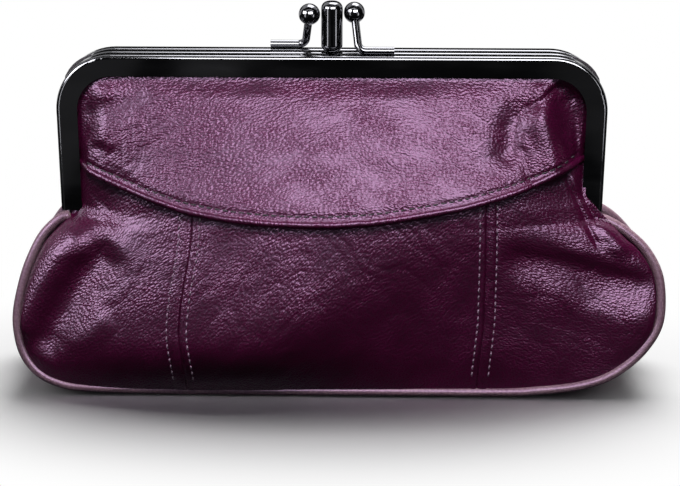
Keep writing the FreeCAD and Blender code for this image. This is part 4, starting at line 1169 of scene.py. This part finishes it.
class PURSE_OT_stage(bpy.types.Operator):
    """White floor, soft studio lamps and the camera"""
    bl_idname = "purse.stage"
    bl_label = "Stage"

    def execute(self, context):
        scene, colours = context.scene, context.scene.purse_colours
        scene.view_settings.view_transform = "Standard"
        paper = studio_paper("studio paper, matt white", colours.floor_white[:], colours.floor_bounce[:])
        reach = 6000
        floor = stage_piece("studio_floor", [(-reach, -reach, 0), (reach, -reach, 0), (reach, reach, 0),
                                             (-reach, reach, 0)], [(0, 1, 2, 3)], paper)
        # the unlit half of the studio round the camera and a dark card behind, which only reflections show
        walls = stage_piece("studio_walls", [
            (-1400, -24, 0.4), (1400, -24, 0.4), (1400, -1500, 0.4), (-1400, -1500, 0.4), (-1400, 60, 1500),
            (1400, 60, 1500), (1400, -1500, 1500), (-1400, -1500, 1500), (-1400, 320, 0.4), (1400, 320, 0.4),
            (-1400, 320, 1500), (1400, 320, 1500), (-104, -24, 0.4), (-104, 320, 0.4), (106, -24, 0.4),
            (106, 320, 0.4), (-420, 320, 120), (420, 320, 120), (420, 320, 330), (-420, 320, 330)],
            [(0, 1, 2, 3), (2, 6, 7, 3), (4, 7, 6, 5), (8, 10, 7, 3), (9, 2, 6, 11), (0, 8, 13, 12),
             (1, 14, 15, 9), (16, 17, 18, 19)], dim_wall("studio wall, dim"))
        for rays in ("camera", "diffuse", "transmission", "shadow"):
            setattr(walls, f"visible_{rays}", False)

        world = bpy.data.worlds.new("studio")
        scene.world = world
        world.use_nodes = True
        tree = world.node_tree
        tree.nodes.clear()
        shade = ramp(tree, seen_rays(tree), srgb("#3c3c3e"), srgb("#ffffff"))
        sky = add(tree, "ShaderNodeBackground", {"Color": shade, "Strength": 1.0})
        add(tree, "ShaderNodeOutputWorld", {"Surface": sky.outputs[0]})

        key = lamp("key_lamp", (-20, -340, 680), (0, 0, 60), (620, 260), 3.0, [floor], "EXCLUDE")
        key.visible_glossy = False
        sheen = lamp("front_lamp", (200, -800, 500), (12, 0, 75), (760, 380), 14.6, [floor], "EXCLUDE")
        sheen.visible_diffuse = False
        side = lamp("left_lamp", (-680, -476, 450), (-40, 0, 60), (600, 380), 11.0, [floor], "EXCLUDE")
        side.visible_diffuse = False
        lamp("back_lamp", (110, 275, 770), (0, 0, 0), (520, 460), 6.6)
        metal = [NODES[row["node"]] for row in frame["record"]["subparts"]
                 if row["material_slot"] == "black_nickel"]
        lamp("top_strip", (0, -330, 640), (0, 0, 105), (1200, 40), 0.5, metal)
        lamp("left_card", (-280, -330, 1), (-280, -330, 200), (320, 420), 0.03, metal)
        lamp("right_card", (270, -310, 1), (270, -310, 200), (300, 380), 0.016, metal)
        lamp("patch_card", (-76, -436, 1.5), (-76, -436, 200), (36, 60), 0.0010, metal)
        lamp("left_strip", (-230, -230, 72), (0, 0, 110), (50, 140), 0.08, metal)
        lamp("right_strip", (230, -230, 72), (0, 0, 110), (50, 140), 0.08, metal)

        data = bpy.data.cameras.new("photo_camera")
        data.sensor_fit, data.sensor_width, data.lens = "HORIZONTAL", CAMERA_SENSOR, CAMERA_LENS
        data.shift_y = CAMERA_SHIFT
        data.clip_start, data.clip_end = 0.01, 50.0
        camera = bpy.data.objects.new("photo_camera", data)
        scene.collection.objects.link(camera)
        camera.location = [v * MM for v in CAMERA_PLACE]
        camera.rotation_euler = CAMERA_TURN
        scene.camera = camera
        return {"FINISHED"}


OPERATORS = (PURSE_OT_stage, PURSE_OT_metal, PURSE_OT_panels, PURSE_OT_yokes, PURSE_OT_pipings,
             PURSE_OT_gusset, PURSE_OT_linings, PURSE_OT_stitching)


class PURSE_PT_sidebar(bpy.types.Panel):
    """Lists the steps that dress the purse, with its sizes and colours"""
    bl_idname = "PURSE_PT_sidebar"
    bl_label = "Kiss lock purse"
    bl_space_type = "VIEW_3D"
    bl_region_type = "UI"
    bl_category = "Purse"

    def draw(self, context):
        column = self.layout.column()
        for step in OPERATORS:
            column.operator(step.bl_idname)
        for group in (context.scene.purse_sizes, context.scene.purse_colours):
            for key in group.__annotations__:
                column.prop(group, key)


CLASSES = (PurseSizes, PurseColours, *OPERATORS, PURSE_PT_sidebar)


def register():
    for each in CLASSES:
        bpy.utils.register_class(each)
    bpy.types.Scene.purse_sizes = bpy.props.PointerProperty(type=PurseSizes)
    bpy.types.Scene.purse_colours = bpy.props.PointerProperty(type=PurseColours)


def unregister():
    del bpy.types.Scene.purse_colours, bpy.types.Scene.purse_sizes
    for each in reversed(CLASSES):
        bpy.utils.unregister_class(each)


def main():
    register()
    for step in OPERATORS:
        group, name = step.bl_idname.split(".")
        getattr(getattr(bpy.ops, group), name)()


if __name__ == "__main__":
    main()
